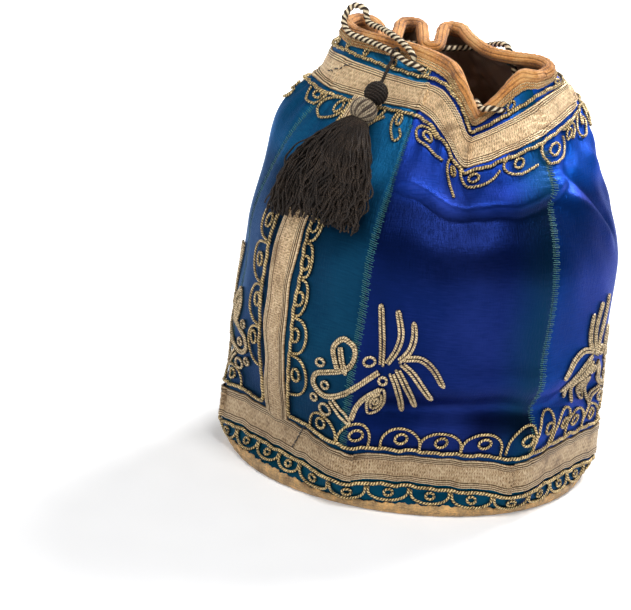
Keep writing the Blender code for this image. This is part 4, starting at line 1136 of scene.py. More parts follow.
LEAN_S_ANGLES = (62, 75, 88, 101, 114, 142, 155, 168, 181, 194, 207, 220, 233, 246, 258)
for angle in LEAN_S_ANGLES:
    low = upper_edges(np.array([float(angle)]))[0][0] + 1.5
    scrolls.append(([(angle + a, low + d) for a, d in LEAN_S], False))
    scrolls.append((ring(angle + 3, low + 6.5, 4.2, 4.6), True))
couched("scrolls_under_upper_galon", scrolls, from_rim=True)

# %% [markdown]
# ## Flower sprays
#
# Between the bands stand sprays of leaves and petals. Here the cord is laid double and packed
# close. We trace the middle line of each stroke and shift it half a cord to each side. Along a
# petal it is one cord, which turns round at the tip.

# %% The strokes of a spray, in degrees and millimetres up the cloth
STEM = ((-23.0, 61.0), (-24.9, 66), (-25.8, 71), (-23.2, 76), (-20, 74.5), (-18.8, 70), (-20, 65),
        (-23, 61.5), (-27, 59), (-30.5, 57), (-31.5, 53), (-30, 50), (-27, 48.5), (-23.5, 50),
        (-19, 54.5), (-15, 59.5), (-11, 64.5))
PETALS = (((-10.5, 67), (-11.3, 76), (-12.6, 86), (-13.5, 93)),
          ((-9, 68.5), (-7, 75), (-6.5, 82), (-8.3, 91)),
          ((-6, 70), (-3.5, 75), (-2.7, 81), (-3.3, 87)),
          ((-5, 71.5), (0, 72.5), (4, 69), (7.5, 62.5)),
          ((-5, 69.5), (-1.5, 66), (2, 60.5), (4.8, 55.5)),
          ((-6, 67), (-3.5, 62), (-1, 56), (0.5, 50.5)),
          ((-7.5, 65), (-5.5, 60), (-4, 53.5), (-3.2, 47.5)))
INNER_STROKE = ((-23.7, 72.0), (-22.6, 67), (-21.0, 62.3))
LEAF_STEM = ((-17.5, 42), (-16.5, 48), (-14, 53), (-10, 57.5))
LEAF = ((-13, 45), (-10.2, 46), (-8.6, 51), (-9, 57.5), (-11.8, 55.5), (-13.6, 50.5))
LEAF_MIDDLE = (-11, 51.3)
SPRAY_RINGS = ((-27, 53.2, 3.6, 3.2), (-29.5, 62.5, 4.0, 3.2), (-14.2, 68.5, 5.0, 4.0),
               (-9.5, 61.2, 3.4, 3.0), (-31.1, 45.7, 3.8, 3.2), (-26.2, 42.7, 6.4, 4.4))
TWIG = ((-24.5, 48.0), (-21.0, 44.6), (-18.2, 41.0))


def shifted(line, aside):
    """A line moved sideways by some millimetres, on the flat."""
    way = np.gradient(line, axis=0)
    way = way / np.linalg.norm(way, axis=1)[:, None]
    return line + aside * np.stack([-way[:, 1], way[:, 0]], -1)


def doubled(points, radius, spread=0.0):
    """Two cords side by side along a stroke."""
    flat = smooth_line(np.array(points, float) * (DEGREE, 1), 0.9)
    taper = 1 + spread * np.sin(np.linspace(0, np.pi, len(flat)))
    return [shifted(flat, side * radius * taper[:, None]) / (DEGREE, 1) for side in (-1, 1)]


def finger(points, radius):
    """One cord that runs out along a petal, round its tip and back."""
    left, right = (line * (DEGREE, 1) for line in doubled(points, radius, 0.30))
    tip = (left[-1] + right[-1]) / 2 + (left[-1] - left[-3]) * 0.55
    return np.concatenate([left[::2], tip[None, :], right[::-2]]) / (DEGREE, 1)


SPRAY_RADIUS = 0.66


def spray(name, turn):
    lines = [(finger(petal, SPRAY_RADIUS), False) for petal in PETALS]
    lines.append((finger(INNER_STROKE, 0.6), False))
    lines.append((finger(TWIG, 0.9), False))
    for stroke, radius in ((STEM, 0.60), (LEAF_STEM, 0.55)):
        for line in doubled(stroke, radius):
            lines.append((line, False))
    closed = [(np.array(LEAF), True)] + [(ring(*r), True) for r in SPRAY_RINGS]
    for share in (0.62, 0.26):
        closed.append((np.array(LEAF) * share + np.array(LEAF_MIDDLE) * (1 - share), True))
    lines = [(np.stack([turn(points[:, 0]), points[:, 1]], -1), is_closed)
             for points, is_closed in lines + closed]
    couched(name, lines, SPRAY_RADIUS, 0.15, finish=spray_finish)


# Sprays are couched in a paler cord, hardly thicker than that of the scallops
spray_finish = plied_finish("pale_gilt_cord", SMALL_PITCH, (0.085, 0.055, 0.028),
                            (0.50, 0.36, 0.19), (0.95, 0.77, 0.49), 0.30, 0.50,
                            couching=0.0036, ply_colour_and_groove_shade=0.4)
spray("spray_front", lambda a: a + 1)
spray("spray_right", lambda a: 57 - a)
spray("spray_left", lambda a: -97 - a)
spray("spray_back", lambda a: 199 + a)

# %% [markdown]
# ## Seams and their whip stitches
#
# The panels were joined edge to edge with a fine teal thread. Its short slanting stitches
# cross each seam. Every stitch here is its own small tube that dips into the silk at both ends.

# %% Short stitches across a seam
def thread_finish(name, dark, light):
    finish, tree, shader = start_finish(name, 0.6)
    coordinates = node(tree, "ShaderNodeTexCoord")
    fibre = stretched_noise(tree, coordinates.outputs["UV"], (0.2, 1, 1), 0.0004, 3)
    broad = stretched_noise(tree, coordinates.outputs["Object"], (1, 1, 1), 0.008, 2)
    tone = times(tree, plus(tree, fibre, broad), 0.5)
    give(tree, shader, ramp(tree, tone, ((0.35, dark), (0.65, light))), fibre, 0.0001)
    shader.inputs["Sheen Weight"].default_value = 0.3
    return finish


def stitches(name, crossings, radius, finish, slot, dip=0.25, top=0.35):
    """Tubes between pairs of places on the cloth, each in degrees and millimetres."""
    cords = []
    share = np.linspace(0, 1, 7)[:, None]
    for start, end in crossings:
        line = np.array(start) * (1 - share) + np.array(end) * share
        height = -dip + (top + dip) * np.sin(np.pi * share[:, 0]) ** 0.6
        path, outward = sewn(line[:, 0], level_up(line[:, 0], line[:, 1]), height)
        cords.append(twist(path, outward, radius * MM, 0.002, sides=6, ply=0.1))
    return gather_cords(name, cords, finish, slot)


WHIP_START = 31
WHIP_END_FROM_RIM = 34
WHIP_STEP = 0.9
teal_thread = thread_finish("teal_thread", (0.003, 0.080, 0.085), (0.016, 0.190, 0.190))
for number, seam in enumerate(SEAM_ANGLES):
    top = whole_cloth(np.array([float(seam)]))[0] - WHIP_END_FROM_RIM
    crossings = []
    for k, up in enumerate(np.arange(WHIP_START, top, WHIP_STEP)):
        wide = 1.4 + 0.2 * math.sin(k * 2.3)
        slant = 0.2 * math.sin(k * 1.7)
        crossings.append(((seam - wide, up + 0.45), (seam + wide, up - 0.45 + slant)))
    stitches(f"whip_stitches_{number + 1}", crossings, 0.17, teal_thread, "silk_left", top=0.20)
print("stitches in the last seam:", len(crossings))

# %% Dark stitches that mend the lower and the upper band
dark_thread = thread_finish("dark_thread", (0.010, 0.009, 0.010), (0.045, 0.038, 0.035))
mends = []
for k in range(5):
    share = k / 5
    mends.append(((-38.5 + 5.2 * share, 18.5 + 12 * share),
                  (-37.7 + 5.2 * share, 20.4 + 12 * share)))
stitches("mending_stitches_low", mends, 0.3, dark_thread, "border_cord", dip=-0.7, top=1.5)
mends = []
for k in range(6):
    angle = -88 + 3.2 * k
    up = whole_cloth(np.array([angle]))[0] - 22 + 1.2 * k
    mends.append(((angle, up), (angle + 2.6, up + 0.9)))
stitches("mending_stitches_high", mends, 0.25, dark_thread, "border_cord", dip=-0.7, top=1.3)

# %% [markdown]
# ## The lining
#
# Inside, a printed cotton in faded brown and pink lines the silk. It follows the silk at a
# small distance, so it takes the same folds. A round of the same cloth covers the stiff base.

# %% The finish of the lining
COTTON_PITCH = 0.0007


def printed_cotton(name):
    finish, tree, shader = start_finish(name, 0.85)
    shader.inputs["Sheen Weight"].default_value = 0.25
    along, across = along_and_across(tree)
    coordinates = node(tree, "ShaderNodeTexCoord")
    weave = times(tree, waves(tree, along, COTTON_PITCH), waves(tree, across, COTTON_PITCH))
    sprigs = node(tree, "ShaderNodeTexVoronoi",
                  {"Vector": coordinates.outputs["Object"], "Scale": 120.0})
    petals = ramp(tree, sprigs.outputs["Distance"],
                  ((0.20, (0.85, 0.62, 0.52)), (0.32, (0.62, 0.40, 0.28)),
                   (0.55, (0.48, 0.29, 0.20))))
    age = stretched_noise(tree, coordinates.outputs["Object"], (1, 1, 1), 0.02, 4)
    colour = mixed(tree, times(tree, age, 0.7), petals, (0.60, 0.40, 0.27))
    give(tree, shader, colour, plus(tree, weave, age), 0.0001)
    return finish


lining_finish = printed_cotton("printed_cotton")

# %% The lining's wall and floor
LINING_OUT = -1.35
DISC_RINGS = 26
around = np.arange(-151, 209.5, 1.0)[:, None]
share = np.linspace(0.018, 1.0, 150)[None, :]
levels = level_up(around + 0 * share, whole_cloth(around[:, 0])[:, None] * share)
places, uv = cloth_grid(around, levels, LINING_OUT)
piece("lining_wall", places, lattice(*places.shape[:2]), lining_finish, "lining", uv,
      stands_for=("lining",))


def round_cloth(name, height, rise, inset, finish, slot, stands_for):
    """A disc of cloth with slight puckers, as wide as the wall at its height."""
    turn = np.arange(0, 361, 3.0)[:, None]
    radii = np.linspace(0.001, 1, DISC_RINGS)[None, :]
    edge = body_points(turn.ravel(), np.full(turn.size, height))
    middle = np.array([0, 0, height])
    outer = edge - middle
    length = np.linalg.norm(outer, axis=1)[:, None]
    outer = outer / length * (length - inset)
    puckers = rise * np.sin(np.radians(turn) * 9) * np.sin(radii * 9) * (1 - radii)
    places = middle + outer[:, None, :] * radii[..., None]
    places[..., 2] += puckers
    uv = places[..., :2].copy()
    return piece(name, places, lattice(*places.shape[:2])[:, ::-1], finish, slot, uv,
                 stands_for=stands_for)


round_cloth("lining_floor", 0.0042, 0.0004, 0.0030, lining_finish, "lining", ("lining_base",))

# %% [markdown]
# ## The base
#
# A disc of pasteboard keeps the bottom flat. Its solid is right as it is, so it stays and only
# gets a finish. The cloth under it and the tape round its edge are the most worn parts.

# %% Pasteboard, base cloth and tape
WORN_PITCH = 0.0006


def worn_cloth(name, dark, middle, light, patch=0.006, channels=None):
    finish, tree, shader = start_finish(name, 0.82)
    shader.inputs["Sheen Weight"].default_value = 0.2
    coordinates = node(tree, "ShaderNodeTexCoord")
    along, across = along_and_across(tree)
    weave = plus(tree, waves(tree, along, WORN_PITCH), waves(tree, across, WORN_PITCH))
    rub = stretched_noise(tree, coordinates.outputs["Object"], (1, 1, 1), patch, 5)
    fine = stretched_noise(tree, coordinates.outputs["Object"], (1, 1, 1), 0.0008, 3)
    tone = plus(tree, times(tree, rub, 0.75), times(tree, fine, 0.35))
    tone = plus(tree, tone, times(tree, weave, 0.02))
    if channels:
        groove = plus(tree, waves(tree, across, channels, "COSINE"), 1.0)
        groove = calc(tree, "POWER", times(tree, groove, 0.5), 5.0)
        tone = minus(tree, tone, times(tree, groove, 0.10))
        fine = minus(tree, fine, times(tree, groove, 1.6))
    colour = ramp(tree, tone, ((0.36, dark), (0.54, middle), (0.72, light)))
    height = plus(tree, times(tree, weave, 0.35), times(tree, fine, 2.0))
    rough = plus(tree, 0.72, times(tree, rub, 0.25))
    give(tree, shader, colour, height, 0.00016, rough)
    return finish


tape_finish = worn_cloth("worn_tan_tape", (0.30, 0.105, 0.022), (0.76, 0.320, 0.078),
                         (0.95, 0.54, 0.20), patch=0.009, channels=0.0022)
base_tape_finish = worn_cloth("rubbed_base_tape", (0.17, 0.090, 0.035), (0.48, 0.300, 0.130),
                              (0.90, 0.52, 0.19))
base_cloth_finish = worn_cloth("base_cloth", (0.035, 0.040, 0.045), (0.080, 0.075, 0.070),
                               (0.17, 0.14, 0.11))
board_finish = worn_cloth("pasteboard", (0.20, 0.16, 0.11), (0.32, 0.26, 0.18), (0.42, 0.35, 0.26))
for slot in bpy.data.objects["base_board"].material_slots:
    slot.material = board_finish

round_cloth("base_cloth", 0.0004, 0.00015, 0.0046, base_cloth_finish, "base", ("base_cover",))

TAPE_SECTION = ((-1, 0.35), (0.0, 0.9), (1.0, 1.15), (2.4, 1.25), (3.8, 1.20), (4.9, 1.10),
                (5.5, 0.80), (5.6, 0.2))
FRAY_SHARES = np.array([0, 0, 0, 0.1, 0.4, 0.8, 1, 1])
HEEL_INSET = 4.5
HEEL_HEIGHT = 0.35
angles = COARSE_ROUND[:, None]
fray = 0.35 * tremble(angles * 1.7, 1.0)
ups = np.array([max(u, 0.05) for u, _ in TAPE_SECTION])[None, :] + fray * FRAY_SHARES[None, :]
outs = np.array([o for _, o in TAPE_SECTION])[None, :] + 0.12 * np.sin(np.radians(angles) * 61)
places, _ = sewn(angles, level_up(angles + 0 * ups, np.maximum(ups, 0.02)), outs)
heel = places[:, 0].copy()
heel[:, :2] *= (1 - HEEL_INSET * MM / np.linalg.norm(heel[:, :2], axis=1))[:, None]
places = np.concatenate([heel[:, None], places], 1)
places[:, 0, 2] = HEEL_HEIGHT * MM
places[..., 2] = np.maximum(places[..., 2], HEEL_HEIGHT * MM)
uv = np.stack([np.radians(angles) * BODY_RADIUS + 0 * places[..., 0],
               np.arange(places.shape[1])[None, :] * 0.0008 + 0 * places[..., 0]], -1)
piece("base_tape", places, lattice(*places.shape[:2])[:, ::-1], base_tape_finish, "binding", uv,
      stands_for=("base_binding",))

# %% [markdown]
# ## The bound mouth
#
# The raw edges of silk, galon and lining are covered by a rolled tape. We need a direction that
# points past the rim in the plane of the cloth, because the roll stands above the cut edge. Two
# rows of gold chain stitch hold the tape down all the way round, and a third only in front.

# %% The rolled tape
def rim_frame(angles):
    """The rim's places, outward directions, and the directions past the edge."""
    places, outward = sewn(angles, 3.0, 0)
    ahead, _ = sewn(angles + 0.8, 3.0, 0)
    behind, _ = sewn(angles - 0.8, 3.0, 0)
    past = np.cross(outward, ahead - behind)
    return places, outward, past / np.linalg.norm(past, axis=-1, keepdims=True)


ROLL = ((7.2, 0.2), (7.0, 0.9), (6.0, 1.15), (4.6, 1.15), (3.9, 0.95), (3.4, 1.35), (2.4, 2.0),
        (1.2, 2.35), (0.2, 2.25), (-0.8, 1.8), (-1.5, 0.9), (-1.8, -0.2), (-1.7, -1.2),
        (-1.1, -2.2), (0, -2.9), (1.4, -3.1), (3.0, -2.8), (5.0, -2.4), (6.6, -2.3), (7.0, -1.6))


def on_roll(angles, section):
    rows = []
    rim, outward, past = rim_frame(angles)
    for down, out in section:
        if down > 0:
            rows.append(sewn(angles, level_down(angles, np.full_like(angles, down)), out)[0])
        else:
            rows.append(rim - past * down * MM + outward * out * MM)
    return np.stack(rows, 1)


angles = COARSE_ROUND
places = on_roll(angles, ROLL)
wrinkle = 0.10 * np.sin(np.radians(angles) * 83) + 0.10 * np.sin(np.radians(angles) * 131 + 1)
rim, outward, past = rim_frame(angles)
places[:, 6:12] += (wrinkle * MM)[:, None, None] * outward[:, None]
uv = np.stack([np.radians(angles)[:, None] * BODY_RADIUS + 0 * places[..., 0],
               np.arange(len(ROLL))[None, :] * 0.0011 + 0 * places[..., 0]], -1)
piece("mouth_tape", places, lattice(*places.shape[:2])[:, ::-1], tape_finish, "binding", uv,
      stands_for=("rim_binding",))

# %% Rows of chain stitch on the tape: distance down, first and last angle, and lift
CHAIN_PITCH = 0.0019
CHAIN_RADIUS = 0.5
CHAIN_ROWS = ((4.6, -150, 208, 1.1), (5.8, -150, 208, 1.1), (7.0, -88, 70, 0.7))
chain_finish = plied_finish("gold_chain_thread", CHAIN_PITCH, (0.12, 0.070, 0.028),
                            (0.50, 0.32, 0.14), (0.80, 0.60, 0.34), 0.3, 0.5)
chains = []
for down, first, last, lift in CHAIN_ROWS:
    run = np.arange(first, last, 0.4)
    path, outward = sewn(run, level_down(run, down + 0.12 * np.sin(run * 2.1)), lift)
    chains.append(twist(path, outward, CHAIN_RADIUS * MM, CHAIN_PITCH, ply=0.34))
gather_cords("chain_stitch_rows", chains, chain_finish, "braid")
print("rows of chain stitch:", len(chains))

# %% [markdown]
# ## The drawstring
#
# The drawstring is a limp two-ply cord, cream wound with dark brown. It runs once round
# the gathered mouth, dips through eyelets into the pleats, leaves as a loop hooked over the
# left tip, and ends in a knot in the front fold. Its route is the solid's own route, point for
# point.

# %% The route of the drawstring, in millimetres
DRAWSTRING_ROUTE = (
    (6.2, -17.7, 173.0), (8.4, -20.6, 171.2), (11.5, -24.8, 168.6), (13.2, -28.2, 171.5),
    (16.3, -32.0, 169.5), (20.5, -33.6, 170.4), (25.9, -30.5, 168.9), (29.3, -22.8, 166.1),
    (30.2, 1.7, 174.9), (27.8, 5.6, 183.7), (23.6, 10.2, 190.3), (11.6, 19.9, 186.2),
    (-4.7, 16.5, 184.6), (-14.3, 16.9, 185.3), (-27.5, 18.8, 184.5), (-36.1, 16.7, 185.2),
    (-43.2, 9.3, 180.7), (-39.5, -2.1, 180.9), (-29.8, -9.1, 180.6), (-18.4, -13.9, 179.3),
    (-16.0, -18.0, 182.7), (-15.3, -22.1, 186.8), (-19.5, -17.9, 190.5), (-25.7, -12.4, 193.4),
    (-31.0, -5.3, 194.5), (-36.0, -0.6, 195.0), (-37.8, 1.4, 197.0), (-39.3, 1.6, 201.0),
    (-44.6, 2.7, 201.3), (-47.6, -0.5, 195.6), (-44.8, -4.3, 191.0), (-38.1, -8.7, 189.6),
    (-29.9, -14.4, 188.3), (-23.4, -19.9, 186.8), (-18.1, -23.8, 184.4), (-14.0, -24.5, 183.5),
    (-9.4, -22.9, 180.4), (-4.1, -21.9, 175.9), (1.1, -17.4, 175.1))
EYELET_POINTS = (6, 9, 11, 12, 13, 14, 15, 20, 36)
DRAWSTRING_RADIUS = 1.5
DRAWSTRING_PITCH = 0.0052
LOOP_POINT = 33


def steady_outward(path):
    """A direction square to a path in space, carried along without spinning."""
    tangent = np.gradient(path, axis=0)
    tangent = tangent / np.linalg.norm(tangent, axis=1)[:, None]
    carried = [np.cross(tangent[0], (0.3, 0.2, 1.0))]
    for t in tangent[1:]:
        carried.append(carried[-1] - t * np.dot(carried[-1], t))
        carried[-1] = carried[-1] / np.linalg.norm(carried[-1])
    return np.array(carried)


# %% The drawstring and its plies
drawstring_finish = plied_finish("drawstring_plies", DRAWSTRING_PITCH, (0.022, 0.013, 0.008),
                                 (0.30, 0.20, 0.11), (0.84, 0.72, 0.50), 0.0, 0.75,
                                 ply_colour_and_groove_shade=1.0, darker=0.34)
route = np.array(DRAWSTRING_ROUTE) * MM
line = smooth_line(route, 0.6 * MM)
cord = twist(line, steady_outward(line), DRAWSTRING_RADIUS * MM, DRAWSTRING_PITCH,
             sides=12, ply=0.30)
drawstring = piece("drawstring_cord", *cord[:2], drawstring_finish, "drawstring", cord[2],
                   stands_for=("drawstring",))

# %% Its knot in the front fold
t = np.linspace(0, 2 * np.pi, 121)
trefoil = np.stack([np.sin(t) + 2 * np.sin(2 * t), np.cos(t) - 2 * np.cos(2 * t),
                    -1.3 * np.sin(3 * t)], -1)
lean = np.array(Vector(route[0] - route[-1]).to_track_quat("X", "Z").to_matrix())
knot_line = np.array([4.1, -14.8, 174.7]) * MM + trefoil * 0.72 * MM @ lean.T
knot = twist(knot_line, steady_outward(knot_line), 1.15 * MM, DRAWSTRING_PITCH,
             sides=10, ply=0.28)
piece("drawstring_tied_knot", *knot[:2], drawstring_finish, "drawstring", knot[2],
      stands_for=("drawstring_knot",))
drawstring_path = [tuple(float(x) for x in p) for p in smooth_line(route, 9 * MM)]

# %% Overcast rings round the eyelets
eyelets = []
t = np.linspace(0, 2 * np.pi, 33)
for index in EYELET_POINTS:
    way = Vector(route[index + 1] - route[index - 1]).normalized()
    turn = np.array(way.to_track_quat("Z", "X").to_matrix())
    circle = np.stack([np.cos(t), np.sin(t), 0 * t], -1) * 2.35 * MM
    path = route[index] + circle @ turn.T
    eyelets.append(twist(path, path - route[index], 0.42 * MM, 0.0011, ply=0.35, closed=True))
gather_cords("eyelet_overcasting", eyelets, teal_thread, "silk_front")
print("eyelets:", len(eyelets))

# %% [markdown]
# ## The tassel
#
# The tassel hangs from the drawstring by a loop of thread and a short cord. Then comes a dark
# wound knob, a ball covered with ribs of cream and brown thread, and the skirt. A solid
# skirt with grooves would look like clay, so we make a few hundred twisted strands, each with
# its own place, wave and length. Knob, ball and skirt swing together.

# %% Places in the tassel, a distance down from its loop
TASSEL_ANGLES = (-38.5, -41.5)
TASSEL_LENGTH = 80.0
TASSEL_LIFT = 3.5
LOOP_DEPTH = 9.6
STRAND_PITCH = 0.0021
smooth_directions = directions(smooth_places)


def tassel_place(distance, out):
    """Distances and heights in millimetres."""
    distance, out = np.broadcast_arrays(np.asarray(distance, float), np.asarray(out, float))
    angle = TASSEL_ANGLES[0] + (TASSEL_ANGLES[1] - TASSEL_ANGLES[0]) * distance / TASSEL_LENGTH
    level = level_up(angle, whole_cloth(angle.ravel()).reshape(angle.shape) - LOOP_DEPTH - distance)
    outward = sample(smooth_directions, angle, level)
    outward = outward / np.linalg.norm(outward, axis=-1, keepdims=True)
    return sample(smooth_places, angle, level) + out[..., None] * MM * outward, outward


def box_middle(name):
    low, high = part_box(name)
    return np.array((low + high) / 2)


knob = box_middle("tassel_knob")
ball = box_middle("tassel_collar")
loop_middle = route[LOOP_POINT]
axis = (ball - knob) / np.linalg.norm(ball - knob)
print("knob:", np.round(knob / MM, 1), "ball:", np.round(ball / MM, 1))

# %% Loop and short cord
tassel_dark = plied_finish("tassel_thread", STRAND_PITCH, (0.005, 0.003, 0.002),
                           (0.017, 0.011, 0.008), (0.070, 0.046, 0.030), 0.0, 0.75)
way = Vector(route[LOOP_POINT + 1] - route[LOOP_POINT - 1]).normalized()
turn = np.array(way.to_track_quat("Z", "X").to_matrix())
t = np.linspace(0, 2 * np.pi, 41)
path = loop_middle + np.stack([np.cos(t), np.sin(t), 0 * t], -1) * 2.55 * MM @ turn.T
ring_of_thread = twist(path, path - loop_middle, 0.55 * MM, 0.0018, ply=0.3, closed=True)
piece("tassel_thread_loop", *ring_of_thread[:2], tassel_dark, "tassel", ring_of_thread[2],
      body="tassel_link", stands_for=("tassel_loop",))
down = (knob - loop_middle) / np.linalg.norm(knob - loop_middle)
path = smooth_line(np.array([loop_middle + down * 2.9 * MM, (loop_middle + knob) / 2,
                             knob - down * 4.6 * MM]), 0.5 * MM)
short = twist(path, steady_outward(path), 0.85 * MM, 0.0030, ply=0.34)
piece("tassel_short_cord", *short[:2], tassel_dark, "tassel", short[2], body="tassel_link",
      stands_for=("tassel_cord",))

# %% The wound knob: one thread in a spiral over a ball
def around_axis(middle, along, reach, turn_angle, height):
    side = np.cross(along, (0.2, 0.1, 1.0))
    side = side / np.linalg.norm(side)
    other = np.cross(along, side)
    spoke = side * np.cos(turn_angle)[..., None] + other * np.sin(turn_angle)[..., None]
    return middle + reach[..., None] * spoke + height[..., None] * along


KNOB_TURNS = 10.5
t = np.linspace(0.02, 0.98, 900)
tilt = np.pi * t
reach = 4.55 * MM * np.sin(tilt) * (0.82 + 0.25 * t) + 0.35 * MM
path = around_axis(knob, axis, reach, 2 * np.pi * KNOB_TURNS * t, -4.6 * MM * np.cos(tilt))
wound = twist(path, path - knob, 0.62 * MM, 0.0024, sides=6, ply=0.2)
core_turn = np.linspace(0, 2 * np.pi, 25)[None, :]
core_tilt = np.linspace(0, np.pi, 13)[:, None]
core_reach = 4.4 * MM * np.sin(core_tilt) * (0.82 + 0.25 * core_tilt / np.pi) + 0 * core_turn
core = around_axis(knob, axis, core_reach, core_turn + 0 * core_tilt,
                   -4.4 * MM * np.cos(core_tilt) + 0 * core_turn)
core_uv = np.stack([core_turn * 0.005 + 0 * core_tilt, core_tilt * 0.005 + 0 * core_turn], -1)
gather_cords("tassel_wound_knob", [wound, (core, lattice(*core.shape[:2]), core_uv)],
             tassel_dark, "tassel", body="tassel", stands_for=("tassel_knob",))

# %% The ribbed ball: threads from pole to pole, cream and brown in turn
RIB_COUNT = 28
RIB_PITCH = 0.0016
ball_pale = plied_finish("ball_pale_thread", RIB_PITCH, (0.10, 0.075, 0.050), (0.34, 0.26, 0.17),
                         (0.60, 0.50, 0.35), 0.0, 0.7)
ball_dark = plied_finish("ball_dark_thread", RIB_PITCH, (0.016, 0.011, 0.008),
                         (0.075, 0.052, 0.036), (0.17, 0.12, 0.085), 0.0, 0.7)
tilt = np.linspace(0.16, np.pi - 0.16, 40)
ribs = {"tassel_ball_pale_ribs": [], "tassel_ball_dark_ribs": []}
for k in range(RIB_COUNT):
    start = 2 * np.pi * k / RIB_COUNT
    path = around_axis(ball, axis, 5.5 * MM * np.sin(tilt) ** 0.8, start + 0.25 * tilt,
                       -4.5 * MM * np.cos(tilt))
    rib = twist(path, path - ball, 0.66 * MM, RIB_PITCH, sides=6, ply=0.3)
    ribs["tassel_ball_dark_ribs" if k % 3 == 1 else "tassel_ball_pale_ribs"].append(rib)
core = around_axis(ball, axis, 5.2 * MM * np.sin(core_tilt) ** 0.9 + 0 * core_turn,
                   core_turn + 0 * core_tilt, -4.4 * MM * np.cos(core_tilt) + 0 * core_turn)
ribs["tassel_ball_dark_ribs"].append((core, lattice(*core.shape[:2]), core_uv))
gather_cords("tassel_ball_pale_ribs", ribs["tassel_ball_pale_ribs"], ball_pale, "tassel_head",
             body="tassel", stands_for=("tassel_collar",))
gather_cords("tassel_ball_dark_ribs", ribs["tassel_ball_dark_ribs"], ball_dark, "tassel_head",
             body="tassel")

# %% [markdown]
# ## The skirt
#
# Each strand starts under the ball and spreads to its own share of the skirt's width and depth.
# A slow wave and a small curl keep it from lying straight. The ends are uneven, and a few
# strands stray past the edge, as on a tassel that has been handled for years. Toward the middle
# of the front the skirt fans out wider and lies a little closer to the silk. Its random numbers
# come from one fixed seed, so every run makes the same skirt.

# %% A few hundred strands
SKIRT_TOP = 35.0
SKIRT_LENGTH = 48.5
STRAND_COUNT = 380
STRAND_RADIUS = 0.49
NECK_WIDTH = 9.0
SKIRT_SPREAD = 34.5
SKIRT_DEPTH = 11.5
SKIRT_HALF_LIMIT = 22.2
FAN_SHARE = 0.42
FAN_DROP = 0.15
rng = np.random.default_rng(7)
strands = []
for k in range(STRAND_COUNT):
    a = rng.uniform(0, 2 * np.pi)
    r = rng.uniform(0.25, 1.0) ** 0.5
    reach = SKIRT_LENGTH * (0.80 + 0.16 * rng.uniform(0, 1) ** 1.5 + 0.09 * max(math.cos(a), 0) * r)
    share = np.linspace(0, 1, 46)
    spread = np.sin(np.pi / 2 * np.minimum(share / 0.8, 1.0))
    half_width = (NECK_WIDTH + SKIRT_SPREAD * spread) / 2
    half_depth = SKIRT_DEPTH * np.sin(np.pi * (0.25 + 0.62 * share)) / 2
    phase, wave = rng.uniform(0, 6.28, 3), rng.uniform(0.7, 3.0)
    sway = np.sin(share * rng.uniform(6, 15) + phase[0])
    x = r * math.cos(a) * half_width + wave * share ** 0.7 * sway
    x += 0.5 * share ** 0.5 * np.sin(share * rng.uniform(25, 52) + phase[2])
    sway = np.sin(share * rng.uniform(6, 15) + phase[1])
    y = r * math.sin(a) * half_depth + 0.9 * wave * share ** 0.7 * sway
    y = np.maximum(y, 0.45 - half_depth)
    x = np.clip(x, -SKIRT_HALF_LIMIT, SKIRT_HALF_LIMIT)
    x = np.where(x < 0, x * (1 + FAN_SHARE * share), x)
    distance = SKIRT_TOP + reach * share
    drop = FAN_DROP * np.minimum(x, 0) ** 2 / 170
    height = TASSEL_LIFT + 0.2 + np.clip(half_depth + y, 0.4, 12.2) - drop
    middle, outward = tassel_place(distance, height)
    ahead = np.gradient(middle, axis=0)
    aside = np.cross(ahead, outward)
    aside = aside / np.linalg.norm(aside, axis=1)[:, None]
    path = middle + aside * (x * MM)[:, None]
    path[0] = path[0] * 0.6 + (ball + axis * 4.2 * MM) * 0.4
    fine = smooth_line(path, 1.0 * MM)
    strands.append(twist(fine, steady_outward(fine), STRAND_RADIUS * MM, STRAND_PITCH,
                         sides=5, ply=0.34))
gather_cords("tassel_strands", strands, tassel_dark, "tassel", body="tassel",
             stands_for=("tassel_skirt",))

# %% [markdown]
# ## Floor, light and camera
#
# The bag stands on a plain white floor. A soft lamp behind it on the right drops the shadow
# forward to the left. A second one high in front gives the satin its highlights, and a weak
# wide lamp keeps the dark trims readable. The floor glows only for camera, glossy and
# transmission rays, so it adds no soft light to the bag and still darkens in the shadow. The
# room is bright near the floor and dim above, because satin shows what it faces.

# %% A floor that looks white to the camera and keeps the shadow
def white_to_the_camera(tree):
    path = node(tree, "ShaderNodeLightPath")
    seen = calc(tree, "MAXIMUM", path.outputs["Is Camera Ray"], path.outputs["Is Glossy Ray"])
    return calc(tree, "MAXIMUM", seen, path.outputs["Is Transmission Ray"])


FLOOR_RADIUS = 4.0
floor_finish, tree, shader = start_finish("white_floor", 0.75)
in_space = node(tree, "ShaderNodeTexCoord").outputs["Object"]
grain = stretched_noise(tree, in_space, (1, 1, 1), 0.02, 2)
paint = ramp(tree, grain, ((0.3, (0.78, 0.78, 0.78)), (0.7, (0.81, 0.81, 0.81))))
give(tree, shader, paint, grain, 0.00002)
away = node(tree, "ShaderNodeVectorMath", {0: in_space}, operation="LENGTH").outputs["Value"]
whiter = faded(tree, away, 0.22, 0.9, 0.30, 0.95)
glow = node(tree, "ShaderNodeEmission", {"Color": (1, 1, 1, 1), "Strength": whiter})
white = node(tree, "ShaderNodeAddShader")
tree.links.new(shader.outputs[0], white.inputs[0])
tree.links.new(glow.outputs[0], white.inputs[1])
both = node(tree, "ShaderNodeMixShader", {"Fac": white_to_the_camera(tree)})
tree.links.new(shader.outputs[0], both.inputs[1])
tree.links.new(white.outputs[0], both.inputs[2])
tree.links.new(both.outputs[0], tree.nodes["Material Output"].inputs["Surface"])

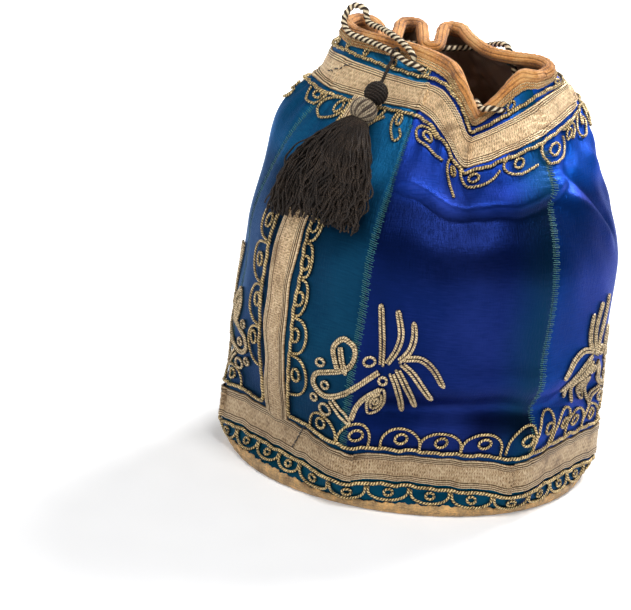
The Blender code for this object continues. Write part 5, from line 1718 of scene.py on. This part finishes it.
turns = np.linspace(0, 2 * np.pi, 97)[:-1]
edge = np.stack([np.cos(turns), np.sin(turns), 0 * turns], -1) * FLOOR_RADIUS
mesh = bpy.data.meshes.new("floor")
mesh.from_pydata(edge.tolist(), [], [list(range(len(edge)))])
mesh.materials.append(floor_finish)
floor = bpy.data.objects.new("floor", mesh)
bpy.context.scene.collection.objects.link(floor)

# %% The world and the lamps
world = bpy.data.worlds.new("studio")
world.use_nodes = True
bpy.context.scene.world = world
tree = world.node_tree
height = part_of(tree, node(tree, "ShaderNodeTexCoord").outputs["Generated"], 2)
walls = ramp(tree, height,
             ((0.06, (1, 1, 1)), (0.22, (0.22, 0.22, 0.23)), (1.0, (0.16, 0.16, 0.17))))
tree.links.new(walls, tree.nodes["Background"].inputs["Color"])


def softbox(name, place, aim, size, watts):
    lamp = bpy.data.lights.new(name, "AREA")
    lamp.shape, lamp.size, lamp.energy = "DISK", size, watts
    made = bpy.data.objects.new(name, lamp)
    made.location = place
    made.rotation_euler = (Vector(aim) - Vector(place)).to_track_quat("-Z", "Y").to_euler()
    bpy.context.scene.collection.objects.link(made)
    return made


MIDDLE = (0, 0, 0.10)
softbox("key", (0.55, 0.85, 1.00), MIDDLE, 0.50, 21)
softbox("window", (0.30, -0.72, 1.52), MIDDLE, 0.65, 17)
softbox("fill", (-0.9, -1.2, 0.6), MIDDLE, 1.0, 5)

# %% The camera of the photograph
CAMERA_PLACE = Vector((0, -1.0337, 0.3762))
CAMERA_AIM = Vector((-0.0484, 0.0212, 0.0581))
CAMERA_ROLL = 5.8
CAMERA_LENS = 136.1
camera = bpy.data.objects.new("camera", bpy.data.cameras.new("camera"))
camera.location = CAMERA_PLACE
level = (CAMERA_AIM - CAMERA_PLACE).to_track_quat("-Z", "Y").to_matrix()
camera.rotation_euler = (level @ Matrix.Rotation(math.radians(CAMERA_ROLL), 3, "Z")).to_euler()
camera.data.lens = CAMERA_LENS
camera.data.sensor_width = 36
camera.data.clip_start = 0.05
bpy.context.scene.collection.objects.link(camera)
bpy.context.scene.camera = camera
bpy.context.scene.view_settings.view_transform = "Standard"
